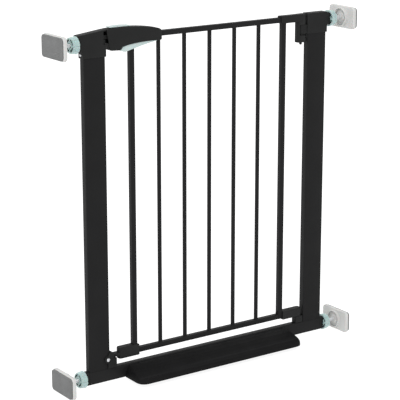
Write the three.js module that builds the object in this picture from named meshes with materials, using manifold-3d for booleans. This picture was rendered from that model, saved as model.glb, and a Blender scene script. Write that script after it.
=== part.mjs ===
// Pressure-fit safety gate for a doorway: a U-shaped steel frame held between two walls by four
// screw spindles, and a barred leaf that swings in it on two vertical pins.
//
// Millimetres. +X runs across the doorway towards the hinges, +Y through the doorway away from
// the threshold ramp, +Z up. The origin is the middle of the threshold rail's underside.

import * as THREE from 'three';
import { mergeVertices } from 'three/addons/utils/BufferGeometryUtils.js';
import Module from 'manifold-3d';

const wasm = await Module();
wasm.setup();

// ---------------------------------------------------------------- driving dimensions

const FIT = 0.3;                  // gap between pieces that touch
const STEEL_WALL = 1.2;           // wall of every steel tube

const FRAME_WIDTH = 623;          // outside of both posts
const POST_WIDTH = 50.5;
const POST_DEPTH = 16;
const POST_CORNER = 2;
const POST_TOP = 722;
const RAIL_HEIGHT = 29;
const RAIL_CORNER = 2.5;

const LEAF_TUBE = 11.2;           // square tube of the leaf's outer frame
const LEAF_TUBE_CORNER = 1;
const LEAF_LEFT = -200.8;
const LEAF_RIGHT = 202.3;
const LEAF_BOTTOM = 47.9;
const LEAF_TOP = 740;
const BAR_COUNT = 5;
const BAR_DIAMETER = 9;
const BAR_PITCH = 64.6;
const BAR_MIDDLE = 1.4;

const SPINDLE_LOW = RAIL_HEIGHT / 2;
const SPINDLE_HIGH = 727.4;
const SPINDLE_DIAMETER = 8;
const BOSS_LENGTH = 10.5;         // hinge cap's boss, which a wheel bears on
const LATCH_BOSS_LENGTH = 13;     // latch cap's boss
const PLUG_LENGTH = 9.8;          // rail plug outside the rail's end
const WHEEL_DIAMETER = 37;
const WHEEL_WIDTH = 14;
const CUP_WIDTH = 85.5;
const CUP_HEIGHT = 49;
const CUP_DEPTH = 8.5;
const PAD_INSET = 1.75;           // the pad stands this far inside its cup's sides
const COLLAR_DIAMETER = 42;       // ring round each cup's recess
const COLLAR_LENGTH = 5;
const RECESS_DIAMETER = 37;
const RECESS_DEPTH = 1.5;         // below the cup's plate
const PAD_DEPTH = 3.5;

const HINGE_X = 246.5;            // both hinge pins stand on this line, at Y = 0
const PIN_DIAMETER = 6;
const BLOCK_DEPTH = 16;           // hinge arms, hinge foot and latch shoe
const LUG_LOW = 700;
const LUG_HIGH = 719.7;
const LIFT = 3;                   // the leaf lifts this far off its lower bearing

const HANDLE_DEPTH = 24;
const HANDLE_WALL = 2.2;
const BOLT_LOW = 734;
const BOLT_HIGH = 742;
const BUTTON_TRAVEL = 8;

const CURVE_STEPS = 4;            // straight pieces in each curve
const CORNER_STEPS = 3;           // straight pieces in each quarter-round corner
const BEVEL_STEPS = 1;
const ROUND_SIDES = 16;           // sides of a small round rod or hole

// ---------------------------------------------------------------- derived places

const POST_OUTER = FRAME_WIDTH / 2;
const POST_INNER = POST_OUTER - POST_WIDTH;
const POST_MIDDLE = POST_OUTER - POST_WIDTH / 2;
const CAP_WALL = 2;
const CAP_OUTER = POST_OUTER + CAP_WALL;
const CAP_INNER = POST_INNER - CAP_WALL;
const CAP_HALF_DEPTH = POST_DEPTH / 2 + CAP_WALL;
const CAP_LOW = 699;
const CAP_SCREW_Z = 706;
const LEAF_HALF = LEAF_TUBE / 2;
const RUNNING = FIT * 2;          // what a hole is wider than the pin that turns in it
const HALF_TURN = Math.PI;

// ---------------------------------------------------------------- materials

function paint(color, roughness, metalness) {
  return () => new THREE.MeshStandardMaterial({ color, roughness, metalness });
}

const blackSteel = paint(0x2a2a2b, 0.42, 0.35);
const blackPlastic = paint(0x252526, 0.55, 0.0);
const rampPlastic = paint(0x212122, 0.6, 0.0);
const aquaPlastic = paint(0xa8b9b3, 0.4, 0.0);
const wheelPlastic = paint(0xcfe0dd, 0.3, 0.0);
const whitePlastic = paint(0xdcdcda, 0.4, 0.0);
const greyRubber = paint(0x808080, 0.85, 0.0);
const zinc = paint(0xb9bcc0, 0.3, 0.9);

// ---------------------------------------------------------------- shape helpers

function arcPoints(centreA, centreB, radius, from, to, steps) {
  return Array.from({ length: steps + 1 }, (_, i) => {
    const angle = from + (to - from) * (i / steps);
    return new THREE.Vector2(
      centreA + radius * Math.cos(angle),
      centreB + radius * Math.sin(angle),
    );
  });
}

function rectPoints(width, height, radius, centreA, centreB) {
  const a = width / 2 - radius;
  const b = height / 2 - radius;
  const quarter = Math.PI / 2;
  const corners = [[a, -b], [a, b], [-a, b], [-a, -b]];
  return corners.flatMap(([da, db], i) => (
    arcPoints(centreA + da, centreB + db, radius, (i - 1) * quarter, i * quarter, CORNER_STEPS)
  ));
}

function circlePoints(radius, centreA, centreB, sides = ROUND_SIDES) {
  return arcPoints(centreA, centreB, radius, 0, 2 * Math.PI, sides).slice(0, -1);
}

function roundedRect(width, height, radius, centreA = 0, centreB = 0) {
  return new THREE.Shape(rectPoints(width, height, radius, centreA, centreB));
}

function hollowRect(width, height, radius, wall, centreA = 0, centreB = 0) {
  const shape = roundedRect(width, height, radius, centreA, centreB);
  const boreRadius = Math.max(radius - wall, 0.4);
  const bore = rectPoints(width - 2 * wall, height - 2 * wall, boreRadius, centreA, centreB);
  shape.holes.push(new THREE.Path(bore));
  return shape;
}

function disc(radius, centreA = 0, centreB = 0, sides = ROUND_SIDES) {
  return new THREE.Shape(circlePoints(radius, centreA, centreB, sides));
}

function polygon(points) {
  return new THREE.Shape(points.map(([a, b]) => new THREE.Vector2(a, b)));
}

// The axes that a drawing's two directions and its depth run along.
const PLANES = {
  xy: [[1, 0, 0], [0, 1, 0], [0, 0, 1]],
  xz: [[1, 0, 0], [0, 0, 1], [0, -1, 0]],
  yz: [[0, 1, 0], [0, 0, 1], [1, 0, 0]],
};

// A drawing in one plane, made solid between two stations on the third axis.
function prism(shape, plane, from, to, bevel = 0) {
  const geometry = new THREE.ExtrudeGeometry(shape, {
    depth: to - from - 2 * bevel,
    steps: 1,
    curveSegments: CURVE_STEPS,
    bevelEnabled: bevel > 0,
    bevelThickness: bevel,
    bevelSize: bevel,
    bevelOffset: -bevel,
    bevelSegments: BEVEL_STEPS,
  });
  const [across, up, out] = PLANES[plane].map((axis) => new THREE.Vector3(...axis));
  const start = plane === 'xz' ? -to : from;
  geometry.translate(0, 0, start + bevel);
  return geometry.applyMatrix4(new THREE.Matrix4().makeBasis(across, up, out));
}

function block(x0, x1, y0, y1, z0, z1) {
  const geometry = new THREE.BoxGeometry(x1 - x0, y1 - y0, z1 - z0);
  return geometry.translate((x0 + x1) / 2, (y0 + y1) / 2, (z0 + z1) / 2);
}

const ROD_TURNS = {
  x: (geometry) => geometry.rotateZ(-Math.PI / 2),
  y: (geometry) => geometry,
  z: (geometry) => geometry.rotateX(Math.PI / 2),
};

// A round rod along one axis; centre is its place on the other two, in X, Y, Z order.
function rod(axis, diameter, from, to, centre, sides = ROUND_SIDES) {
  const geometry = new THREE.CylinderGeometry(diameter / 2, diameter / 2, to - from, sides);
  ROD_TURNS[axis](geometry);
  const middle = (from + to) / 2;
  const [a, b] = centre;
  const places = { x: [middle, a, b], y: [a, middle, b], z: [a, b, middle] };
  return geometry.translate(...places[axis]);
}

// A turned piece: the profile is [radius, station] pairs that start and end on the axis.
function turned(profile, sides = ROUND_SIDES) {
  return new THREE.LatheGeometry(profile.map(([r, s]) => new THREE.Vector2(r, s)), sides);
}

class Helix extends THREE.Curve {
  constructor(radius, turns, start, end, centreZ) {
    super();
    Object.assign(this, { radius, turns, start, end, centreZ });
  }

  getPoint(t, target = new THREE.Vector3()) {
    const angle = t * this.turns * 2 * Math.PI;
    const y = this.radius * Math.cos(angle);
    const z = this.centreZ + this.radius * Math.sin(angle);
    return target.set(this.start + t * (this.end - this.start), y, z);
  }
}

const SPRING_WIRE = 0.9;
const SPRING_STEPS_PER_TURN = 8;
const SPRING_WIRE_SIDES = 5;

function coilSpring(radius, turns, start, end, centreZ) {
  return new THREE.ExtrudeGeometry(disc(SPRING_WIRE / 2, 0, 0, SPRING_WIRE_SIDES), {
    steps: turns * SPRING_STEPS_PER_TURN,
    bevelEnabled: false,
    extrudePath: new Helix(radius, turns, start, end, centreZ),
  });
}

// ---------------------------------------------------------------- joins and cuts

function solidOf(geometry) {
  const bare = geometry.clone();
  bare.deleteAttribute('normal');
  bare.deleteAttribute('uv');
  const merged = mergeVertices(bare, 1e-4);
  return new wasm.Manifold(new wasm.Mesh({
    numProp: 3,
    vertProperties: new Float32Array(merged.attributes.position.array),
    triVerts: new Uint32Array(merged.index.array),
  }));
}

function geometryOf(solid) {
  const mesh = solid.getMesh();
  const geometry = new THREE.BufferGeometry();
  geometry.setAttribute('position', new THREE.BufferAttribute(mesh.vertProperties, 3));
  geometry.setIndex(new THREE.BufferAttribute(mesh.triVerts, 1));
  geometry.computeVertexNormals();
  return geometry;
}

function cut(base, ...tools) {
  return geometryOf(tools.reduce((body, tool) => body.subtract(solidOf(tool)), solidOf(base)));
}

function join(base, ...others) {
  return geometryOf(others.reduce((body, other) => body.add(solidOf(other)), solidOf(base)));
}

function common(first, second) {
  return geometryOf(solidOf(first).intersect(solidOf(second)));
}

// ---------------------------------------------------------------- scene helpers

const gate = new THREE.Group();

function place(group, name, geometry, material) {
  const mesh = new THREE.Mesh(geometry, material());
  mesh.name = name;
  group.add(mesh);
}

// ---------------------------------------------------------------- frame: threshold rail

const RAMP_SCREWS = [-150, 0, 150];
const RAMP_SCREW_DIAMETER = 4;

function thresholdRail() {
  const section = hollowRect(POST_DEPTH, RAIL_HEIGHT, RAIL_CORNER, STEEL_WALL, 0, RAIL_HEIGHT / 2);
  const tube = prism(section, 'yz', -POST_OUTER, POST_OUTER);
  const holes = RAMP_SCREWS.map((x) => (
    rod('y', RAMP_SCREW_DIAMETER + RUNNING, -POST_DEPTH, POST_DEPTH, [x, RAIL_HEIGHT / 2])
  ));
  return cut(tube, ...holes);
}

// Modelled for the right-hand end; the left one is the same piece turned half way round.
function railPlug() {
  const bore = SPINDLE_DIAMETER + RUNNING;
  const insertDepth = POST_DEPTH - 2 * (STEEL_WALL + FIT);
  const insertHeight = RAIL_HEIGHT - 2 * (STEEL_WALL + FIT);
  const insertLength = 24;
  const flange = roundedRect(POST_DEPTH, RAIL_HEIGHT, RAIL_CORNER);
  const insert = roundedRect(insertDepth, insertHeight, 1);
  return cut(
    join(
      prism(flange, 'yz', FIT, PLUG_LENGTH, 1),
      prism(insert, 'yz', -insertLength, 2),
    ),
    rod('x', bore, -insertLength - 1, PLUG_LENGTH + 1, [0, 0]),
  );
}

// ---------------------------------------------------------------- frame: posts and caps

const CAP_SCREW_DIAMETER = 3;
const RIVET_X = -266.5;
const RIVET_Z = 49;
const RIVET_DIAMETER = 4;
const LEFT_CAP_TOP = 754.2;
const LEFT_BOSS_TOP = 746.6;
const RIGHT_CAP_TOP = 744.4;
const RIGHT_CAP_BREAK = 311;      // where the right cap's top starts to fall away
const RIGHT_BOSS_TOP = 740.5;
const BOSS_LOW = 715.4;
const CAP_BORE_END = 266.5;

function post(side) {
  const section = hollowRect(POST_WIDTH, POST_DEPTH, POST_CORNER, STEEL_WALL, side * POST_MIDDLE, 0);
  const tube = prism(section, 'xy', RAIL_HEIGHT + FIT, POST_TOP);
  const ends = [side * (POST_OUTER - 4), side * (POST_OUTER + 4)].sort((a, b) => a - b);
  const holes = [rod('x', CAP_SCREW_DIAMETER + RUNNING, ...ends, [0, CAP_SCREW_Z])];
  if (side < 0) {
    holes.push(rod('y', RIVET_DIAMETER + RUNNING, -POST_DEPTH, POST_DEPTH, [RIVET_X, RIVET_Z]));
  }
  return cut(tube, ...holes);
}

// Front view of the left cap: its top falls away in one line from the handle to the boss's end.
function leftCapOutline() {
  const bossEnd = POST_OUTER + LATCH_BOSS_LENGTH;
  const shape = new THREE.Shape();
  shape.moveTo(-CAP_OUTER, CAP_LOW);
  shape.lineTo(-CAP_INNER, CAP_LOW);
  shape.lineTo(-CAP_INNER, LEFT_CAP_TOP);
  shape.lineTo(3 - bossEnd, LEFT_BOSS_TOP);
  shape.quadraticCurveTo(-bossEnd, LEFT_BOSS_TOP, -bossEnd, LEFT_BOSS_TOP - 3);
  shape.lineTo(-bossEnd, BOSS_LOW + 3);
  shape.quadraticCurveTo(-bossEnd, BOSS_LOW, 3 - bossEnd, BOSS_LOW);
  shape.lineTo(-CAP_OUTER, BOSS_LOW - 1.5);
  shape.closePath();
  return shape;
}

// Front view of the right cap: flat over the post, then falling away over the boss.
function rightCapOutline() {
  const bossEnd = POST_OUTER + BOSS_LENGTH;
  const shape = new THREE.Shape();
  shape.moveTo(CAP_OUTER, CAP_LOW);
  shape.lineTo(CAP_OUTER, BOSS_LOW - 1.5);
  shape.lineTo(bossEnd - 3, BOSS_LOW);
  shape.quadraticCurveTo(bossEnd, BOSS_LOW, bossEnd, BOSS_LOW + 3);
  shape.lineTo(bossEnd, RIGHT_BOSS_TOP - 3);
  shape.quadraticCurveTo(bossEnd, RIGHT_BOSS_TOP, bossEnd - 3, RIGHT_BOSS_TOP + 0.7);
  shape.lineTo(RIGHT_CAP_BREAK, RIGHT_CAP_TOP);
  shape.lineTo(CAP_INNER, RIGHT_CAP_TOP);
  shape.lineTo(CAP_INNER, CAP_LOW);
  shape.closePath();
  return shape;
}

// The cut-outs that both caps have: pocket for the post, bores for the spindle and the cap screw.
function fittedCap(outline, side, bossLength) {
  const along = (near, far) => [side * near, side * far].sort((a, b) => a - b);
  const bossEnd = POST_OUTER + bossLength;
  const pocket = roundedRect(
    POST_WIDTH + RUNNING,
    POST_DEPTH + RUNNING,
    POST_CORNER,
    side * POST_MIDDLE,
    0,
  );
  return cut(
    prism(outline, 'xz', -CAP_HALF_DEPTH, CAP_HALF_DEPTH, 1.2),
    prism(pocket, 'xy', CAP_LOW - 1, POST_TOP + FIT),
    rod('x', SPINDLE_DIAMETER + RUNNING, ...along(CAP_BORE_END, bossEnd + 1), [0, SPINDLE_HIGH]),
    rod('x', CAP_SCREW_DIAMETER + RUNNING, ...along(POST_OUTER - 1, CAP_OUTER + 1), [0, CAP_SCREW_Z]),
  );
}

// The left cap has the slot that the latch bolt's nose reaches into. Below the slot, a notch in
// each face clears the handle's rounded end.
const SLOT_LOW = 733.2;
const SLOT_HIGH = 751;
const SLOT_DEPTH = 6.5;
const NOTCH_LOW = 724;
const NOTCH_DEPTH = 4;

function leftCap() {
  const left = -CAP_INNER - SLOT_DEPTH;
  const right = -CAP_INNER + 1;
  const face = CAP_HALF_DEPTH + 1;
  const notchFloor = CAP_HALF_DEPTH - NOTCH_DEPTH;
  return cut(
    fittedCap(leftCapOutline(), -1, LATCH_BOSS_LENGTH),
    block(left, right, -face, face, SLOT_LOW, SLOT_HIGH),
    block(left, right, -face, -notchFloor, NOTCH_LOW, SLOT_LOW + 1),
    block(left, right, notchFloor, face, NOTCH_LOW, SLOT_LOW + 1),
  );
}

// The right cap has the lug that the upper hinge pin passes through.
const LUG_RADIUS = 7.6;
const BEARING_DIAMETER = 12;      // ring on the leaf's knuckle that the lug rests on
const BEARING_SIDES = 24;
const APRON_LEFT = 257.8;         // apron below the lug, just clear of the turning knuckle
const APRON_LOW = 690;
const APRON_HALF_DEPTH = 7;

function rightCap() {
  const lug = new THREE.Shape();
  lug.moveTo(CAP_INNER + 1, -LUG_RADIUS);
  lug.lineTo(CAP_INNER + 1, LUG_RADIUS);
  lug.lineTo(HINGE_X, LUG_RADIUS);
  lug.absarc(HINGE_X, 0, LUG_RADIUS, Math.PI / 2, 1.5 * Math.PI);
  lug.closePath();
  return cut(
    join(
      fittedCap(rightCapOutline(), 1, BOSS_LENGTH),
      prism(lug, 'xy', LUG_LOW, LUG_HIGH),
      block(APRON_LEFT, CAP_INNER + 1, -APRON_HALF_DEPTH, APRON_HALF_DEPTH, APRON_LOW, LUG_LOW + 1),
    ),
    rod('z', PIN_DIAMETER + RUNNING, LUG_LOW - 1, LUG_HIGH + 1, [HINGE_X, 0]),
    rod(
      'z',
      BEARING_DIAMETER + RUNNING,
      LUG_LOW - 1,
      LUG_LOW + LIFT + FIT,
      [HINGE_X, 0],
      BEARING_SIDES,
    ),
  );
}

// Built along +Y from the cap's outer face, then laid along the outward X direction.
function capScrew(side) {
  const shank = CAP_SCREW_DIAMETER / 2;
  const screw = turned([[0, -6], [shank, -6], [shank, FIT], [3, FIT], [2.6, 1.5], [1.2, 2.1], [0, 2.1]]);
  screw.rotateZ(-side * Math.PI / 2);
  return screw.translate(side * CAP_OUTER, 0, CAP_SCREW_Z);
}

// ---------------------------------------------------------------- frame: threshold ramp

const RAMP_LEFT = -222;
const RAMP_RIGHT = 214;
const RAMP_FRONT = -71;
const RAMP_BACK = -(POST_DEPTH / 2 + FIT);
const RAMP_TOP = 26.5;
const RAMP_LIP = 3.5;
const RAMP_END_SLOPE = 11;        // how far each end leans in over the ramp's height
const RAMP_CORNER = 22;
const RAMP_SKIN = 2.6;
const RIB_HALF = 3.5;

// Plan of the ramp when its edges have drawn in by a given amount.
function rampPlan(inset) {
  const left = RAMP_LEFT + inset;
  const right = RAMP_RIGHT - inset;
  const front = RAMP_FRONT;
  const plan = new THREE.Shape();
  plan.moveTo(right, RAMP_BACK);
  plan.lineTo(left, RAMP_BACK);
  plan.lineTo(left, front + RAMP_CORNER);
  plan.quadraticCurveTo(left, front, left + RAMP_CORNER, front);
  plan.lineTo(right - RAMP_CORNER, front);
  plan.quadraticCurveTo(right, front, right, front + RAMP_CORNER);
  plan.closePath();
  return plan.getPoints(2 * CURVE_STEPS).slice(0, -1);
}

// Joins rings of equally many points into one closed skin; the first ring is the lowest.
function loft(rings) {
  const count = rings[0].length;
  const positions = rings.flat().flatMap((point) => point.toArray());
  const index = [];
  for (let ring = 0; ring < rings.length - 1; ring += 1) {
    for (let i = 0; i < count; i += 1) {
      const next = (i + 1) % count;
      const [a, b] = [ring * count + i, ring * count + next];
      index.push(a, b, b + count, a, b + count, a + count);
    }
  }
  const flat = rings[0].map((point) => new THREE.Vector2(point.x, point.y));
  const top = (rings.length - 1) * count;
  THREE.ShapeUtils.triangulateShape(flat, []).forEach(([a, b, c]) => {
    index.push(a, c, b, top + a, top + b, top + c);
  });
  const geometry = new THREE.BufferGeometry();
  geometry.setAttribute('position', new THREE.Float32BufferAttribute(positions, 3));
  geometry.setIndex(index);
  return geometry;
}

// Side view of the tread: highest against the rail, down to a thin lip at the front.
function rampSlope(drop, front, x0, x1) {
  const slope = new THREE.Shape();
  slope.moveTo(RAMP_BACK, -1);
  slope.lineTo(RAMP_BACK, RAMP_TOP - drop);
  slope.quadraticCurveTo(-30, RAMP_TOP - 2 - drop, front, RAMP_LIP - drop);
  slope.lineTo(front, -1);
  slope.closePath();
  return prism(slope, 'yz', x0, x1);
}

function thresholdRamp() {
  const leaning = [0, 0.35, 0.7, 1].map((t) => {
    const inset = RAMP_END_SLOPE * t * t;
    return rampPlan(inset).map((p) => new THREE.Vector3(p.x, p.y, t * (RAMP_TOP + 2)));
  });
  const tread = common(loft(leaning), rampSlope(0, RAMP_FRONT - 1, RAMP_LEFT - 1, RAMP_RIGHT + 1));
  const walls = [RAMP_LEFT + RAMP_END_SLOPE + RAMP_SKIN + RAMP_CORNER, ...RAMP_SCREWS,
    RAMP_RIGHT - RAMP_END_SLOPE - RAMP_SKIN - RAMP_CORNER];
  const pockets = walls.slice(1).map((x, i) => common(
    rampSlope(RAMP_SKIN, RAMP_FRONT + 8, walls[i] + RIB_HALF, x - RIB_HALF),
    block(walls[i], x, RAMP_FRONT, RAMP_BACK - RAMP_SKIN, -2, RAMP_TOP),
  ));
  const holes = RAMP_SCREWS.map((x) => (
    rod('y', RAMP_SCREW_DIAMETER + RUNNING, -26, RAMP_BACK + 1, [x, RAIL_HEIGHT / 2], 12)
  ));
  return cut(tread, ...pockets, ...holes);
}

function rampScrew(x) {
  const shank = RAMP_SCREW_DIAMETER / 2;
  const head = POST_DEPTH / 2 + FIT;
  const screw = turned(
    [[0, -24], [shank, -24], [shank, head], [4, head], [3.6, head + 1.6], [1.5, head + 2.3], [0, head + 2.3]],
    14,
  );
  return screw.translate(x, 0, RAIL_HEIGHT / 2);
}

// ---------------------------------------------------------------- frame: lower fittings

const CATCH_HALF_DEPTH = 11;
const CATCH_RIGHT = -245;
const CATCH_SHELF = 50;           // the shoe's tongue passes just above this ledge

function latchCatch() {
  const body = new THREE.Shape();
  body.moveTo(RIVET_X, RAIL_HEIGHT + FIT);
  body.lineTo(CATCH_RIGHT, RAIL_HEIGHT + FIT);
  body.lineTo(CATCH_RIGHT, 58);
  body.lineTo(-POST_INNER + 3, 66);
  body.quadraticCurveTo(-POST_INNER - 2, 67, RIVET_X, 57);
  body.closePath();
  const halfPost = POST_DEPTH / 2 + FIT;
  const inPost = block(-POST_INNER - 30, -POST_INNER + FIT, -halfPost, halfPost, 0, 90);
  const mouth = block(-252, CATCH_RIGHT + 1, -CATCH_HALF_DEPTH - 1, CATCH_HALF_DEPTH + 1, CATCH_SHELF, 90);
  return cut(
    join(
      prism(body, 'xz', -CATCH_HALF_DEPTH, CATCH_HALF_DEPTH, 0.8),
      prism(disc(8, RIVET_X, RIVET_Z), 'xz', -CATCH_HALF_DEPTH, CATCH_HALF_DEPTH, 0.8),
    ),
    inPost,
    mouth,
    rod('y', RIVET_DIAMETER + RUNNING, -20, 20, [RIVET_X, RIVET_Z]),
  );
}

function catchRivet() {
  const shank = RIVET_DIAMETER / 2;
  const face = CATCH_HALF_DEPTH + FIT;
  const rivet = turned([
    [0, -face - 2], [2, -face - 1.8], [4, -face - 0.6], [4, -face], [shank, -face],
    [shank, face], [4, face], [4, face + 0.6], [2, face + 1.8], [0, face + 2],
  ]);
  return rivet.translate(RIVET_X, 0, RIVET_Z);
}

const HINGE_FOOT_TOP = 44.2;
const HINGE_FOOT_LEFT = 239.5;
const HINGE_FOOT_RIGHT = POST_INNER - FIT;

function hingeFoot() {
  const middle = (HINGE_FOOT_LEFT + HINGE_FOOT_RIGHT) / 2;
  const plan = roundedRect(HINGE_FOOT_RIGHT - HINGE_FOOT_LEFT, BLOCK_DEPTH, 2.5, middle, 0);
  return cut(
    prism(plan, 'xy', RAIL_HEIGHT + FIT, HINGE_FOOT_TOP),
    rod('z', PIN_DIAMETER + RUNNING, RAIL_HEIGHT, HINGE_FOOT_TOP + 1, [HINGE_X, 0]),
  );
}

// ---------------------------------------------------------------- leaf: tubes and bars

const HINGE_SCREW_Z = 62.9;
const HINGE_SCREW_DIAMETER = 4;

function stile(left) {
  const section = hollowRect(LEAF_TUBE, LEAF_TUBE, LEAF_TUBE_CORNER, STEEL_WALL, left + LEAF_HALF, 0);
  return prism(section, 'xy', LEAF_BOTTOM, LEAF_TOP);
}

function rightStile() {
  const left = LEAF_RIGHT - LEAF_TUBE;
  const hole = rod('x', HINGE_SCREW_DIAMETER + RUNNING, left - 1, LEAF_RIGHT + 1, [0, HINGE_SCREW_Z]);
  return cut(stile(left), hole);
}

function leafRail(low) {
  const section = hollowRect(LEAF_TUBE, LEAF_TUBE, LEAF_TUBE_CORNER, STEEL_WALL, 0, low + LEAF_HALF);
  return prism(section, 'yz', LEAF_LEFT + LEAF_TUBE + FIT, LEAF_RIGHT - LEAF_TUBE - FIT);
}

function leafBar(number) {
  const x = BAR_MIDDLE + (number - (BAR_COUNT - 1) / 2) * BAR_PITCH;
  const section = disc(BAR_DIAMETER / 2, x, 0);
  section.holes.push(new THREE.Path(circlePoints(BAR_DIAMETER / 2 - 1, x, 0)));
  return prism(section, 'xy', LEAF_BOTTOM + LEAF_TUBE + FIT, LEAF_TOP - LEAF_TUBE - FIT);
}

// ---------------------------------------------------------------- leaf: hinge arms

const SLEEVE_LEFT = 188;
const SLEEVE_WALL = 2;
const SLEEVE_TOP = LEAF_TOP + 3.5;
const KNUCKLE_LEFT = HINGE_X - 12.3;
const KNUCKLE_RIGHT = HINGE_X + 9.5;
const KNUCKLE_LOW = 681;
const PIN_HEAD = 9;
const PIN_HEAD_SEAT = SLEEVE_TOP - 4;

// A sleeve over the leaf's top corner, with a forked knuckle that straddles the cap's lug. A
// bearing ring on the knuckle's lower half carries the lug.
function upperHingeArm() {
  const low = LEAF_TOP - LEAF_TUBE - SLEEVE_WALL;
  const high = SLEEVE_TOP;
  const sleeveSection = roundedRect(BLOCK_DEPTH, high - low, 2, 0, (low + high) / 2);
  const knuckleMiddle = (KNUCKLE_LEFT + KNUCKLE_RIGHT) / 2;
  const knucklePlan = roundedRect(KNUCKLE_RIGHT - KNUCKLE_LEFT, BLOCK_DEPTH, 4, knuckleMiddle, 0);
  const room = LEAF_HALF + FIT;
  const forkLeft = HINGE_X - LUG_RADIUS - 0.5;
  const forkLow = LUG_LOW - LIFT - RUNNING;
  const forked = cut(
    join(
      prism(sleeveSection, 'yz', SLEEVE_LEFT, HINGE_X),
      prism(knucklePlan, 'xy', KNUCKLE_LOW, high),
    ),
    block(SLEEVE_LEFT - 1, LEAF_RIGHT + FIT, -room, room, LEAF_TOP - LEAF_TUBE - FIT, LEAF_TOP + FIT),
    block(LEAF_RIGHT - LEAF_TUBE - FIT, LEAF_RIGHT + FIT, -room, room, low - 1, LEAF_TOP),
    block(forkLeft, KNUCKLE_RIGHT + 1, -BLOCK_DEPTH, BLOCK_DEPTH, forkLow, LUG_HIGH + FIT),
  );
  return cut(
    join(forked, rod('z', BEARING_DIAMETER, forkLow - 1, LUG_LOW - FIT, [HINGE_X, 0], BEARING_SIDES)),
    rod('z', PIN_DIAMETER + RUNNING, KNUCKLE_LOW - 1, high + 1, [HINGE_X, 0]),
    rod('z', PIN_HEAD + RUNNING, PIN_HEAD_SEAT, high + 1, [HINGE_X, 0]),
  );
}

const LOWER_ARM_TOP = 65;
const LOWER_PIN_TOP = 58;

function lowerHingeArm() {
  const left = LEAF_RIGHT + FIT;
  const right = KNUCKLE_RIGHT;
  const plan = new THREE.Shape();
  plan.moveTo(left, -BLOCK_DEPTH / 2);
  plan.lineTo(right - 5, -BLOCK_DEPTH / 2);
  plan.quadraticCurveTo(right, -BLOCK_DEPTH / 2, right, -BLOCK_DEPTH / 2 + 5);
  plan.lineTo(right, BLOCK_DEPTH / 2 - 5);
  plan.quadraticCurveTo(right, BLOCK_DEPTH / 2, right - 5, BLOCK_DEPTH / 2);
  plan.lineTo(left, BLOCK_DEPTH / 2);
  plan.closePath();
  const low = HINGE_FOOT_TOP + FIT;
  return cut(
    prism(plan, 'xy', low, LOWER_ARM_TOP, 0.8),
    rod('z', PIN_DIAMETER + RUNNING, low - 1, LOWER_PIN_TOP + FIT, [HINGE_X, 0]),
    rod('x', HINGE_SCREW_DIAMETER + RUNNING, left - 1, left + 22, [0, HINGE_SCREW_Z], 12),
  );
}

function hingeScrew() {
  const shank = HINGE_SCREW_DIAMETER / 2;
  const face = LEAF_RIGHT - LEAF_TUBE - FIT;
  const screw = turned([[0, -31], [shank, -31], [shank, 0], [3.3, 0], [3, 1.8], [0, 2.4]], 14);
  screw.rotateZ(Math.PI / 2);
  return screw.translate(face, 0, HINGE_SCREW_Z);
}

// ---------------------------------------------------------------- leaf: latch shoe

const SHOE_LEFT = -237;
const SHOE_RIGHT = -186.5;
const SHOE_LOW = 43.5;
const SHOE_TOP = 68.5;

// Covers the leaf's lower corner; its tongue rests over the catch's ledge.
function latchShoe() {
  const half = BLOCK_DEPTH / 2;
  const plan = new THREE.Shape();
  plan.moveTo(SHOE_RIGHT, -half);
  plan.lineTo(SHOE_RIGHT, half);
  plan.lineTo(SHOE_LEFT + 5, half);
  plan.absarc(SHOE_LEFT + 5, half - 5, 5, Math.PI / 2, Math.PI);
  plan.absarc(SHOE_LEFT + 5, 5 - half, 5, Math.PI, 1.5 * Math.PI);
  plan.closePath();
  const room = LEAF_HALF + FIT;
  const inner = LEAF_LEFT + LEAF_TUBE + FIT;
  return cut(
    join(
      prism(plan, 'xy', SHOE_LOW, SHOE_TOP, 1),
      block(-251, SHOE_LEFT + 6, -7, 7, CATCH_SHELF + 1, 58),
    ),
    block(LEAF_LEFT - FIT, inner, -room, room, LEAF_BOTTOM - FIT, SHOE_TOP + 1),
    block(inner - 1, SHOE_RIGHT + 1, -room, room, LEAF_BOTTOM - FIT, LEAF_BOTTOM + LEAF_TUBE + FIT),
  );
}

// ---------------------------------------------------------------- leaf: hinge pins

function upperHingePin() {
  const radius = PIN_DIAMETER / 2;
  const headLow = PIN_HEAD_SEAT + FIT;
  const top = SLEEVE_TOP - 1;
  const pin = turned([
    [0, 675.5], [radius - 0.8, 675.5], [radius, 676.5], [radius, headLow],
    [PIN_HEAD / 2, headLow], [PIN_HEAD / 2, top], [0, top],
  ]);
  return pin.rotateX(Math.PI / 2).translate(HINGE_X, 0, 0);
}

function lowerHingePin() {
  const radius = PIN_DIAMETER / 2;
  const low = RAIL_HEIGHT + 2;
  const top = LOWER_PIN_TOP;
  const pin = turned([[0, low], [radius - 0.8, low], [radius, low + 1], [radius, top], [0, top]]);
  return pin.rotateX(Math.PI / 2).translate(HINGE_X, 0, 0);
}

// ---------------------------------------------------------------- leaf: handle housing

const HANDLE_RIGHT = -125;
const HANDLE_SCREWS = [[-247.2, 721], [-178, 747.5], [-143, 744.6]];
const LEVER_PIVOT = [-138.6, 725.8];
const LEVER_HALF_DEPTH = 9.2;
const CAVITY_HALF_DEPTH = HANDLE_DEPTH / 2 - HANDLE_WALL;
const BUTTON_Z = 756.4;
const STEM_LEFT = -231;
const STEM_RIGHT = -219;
const STEM_HALF_DEPTH = 3;

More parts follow.
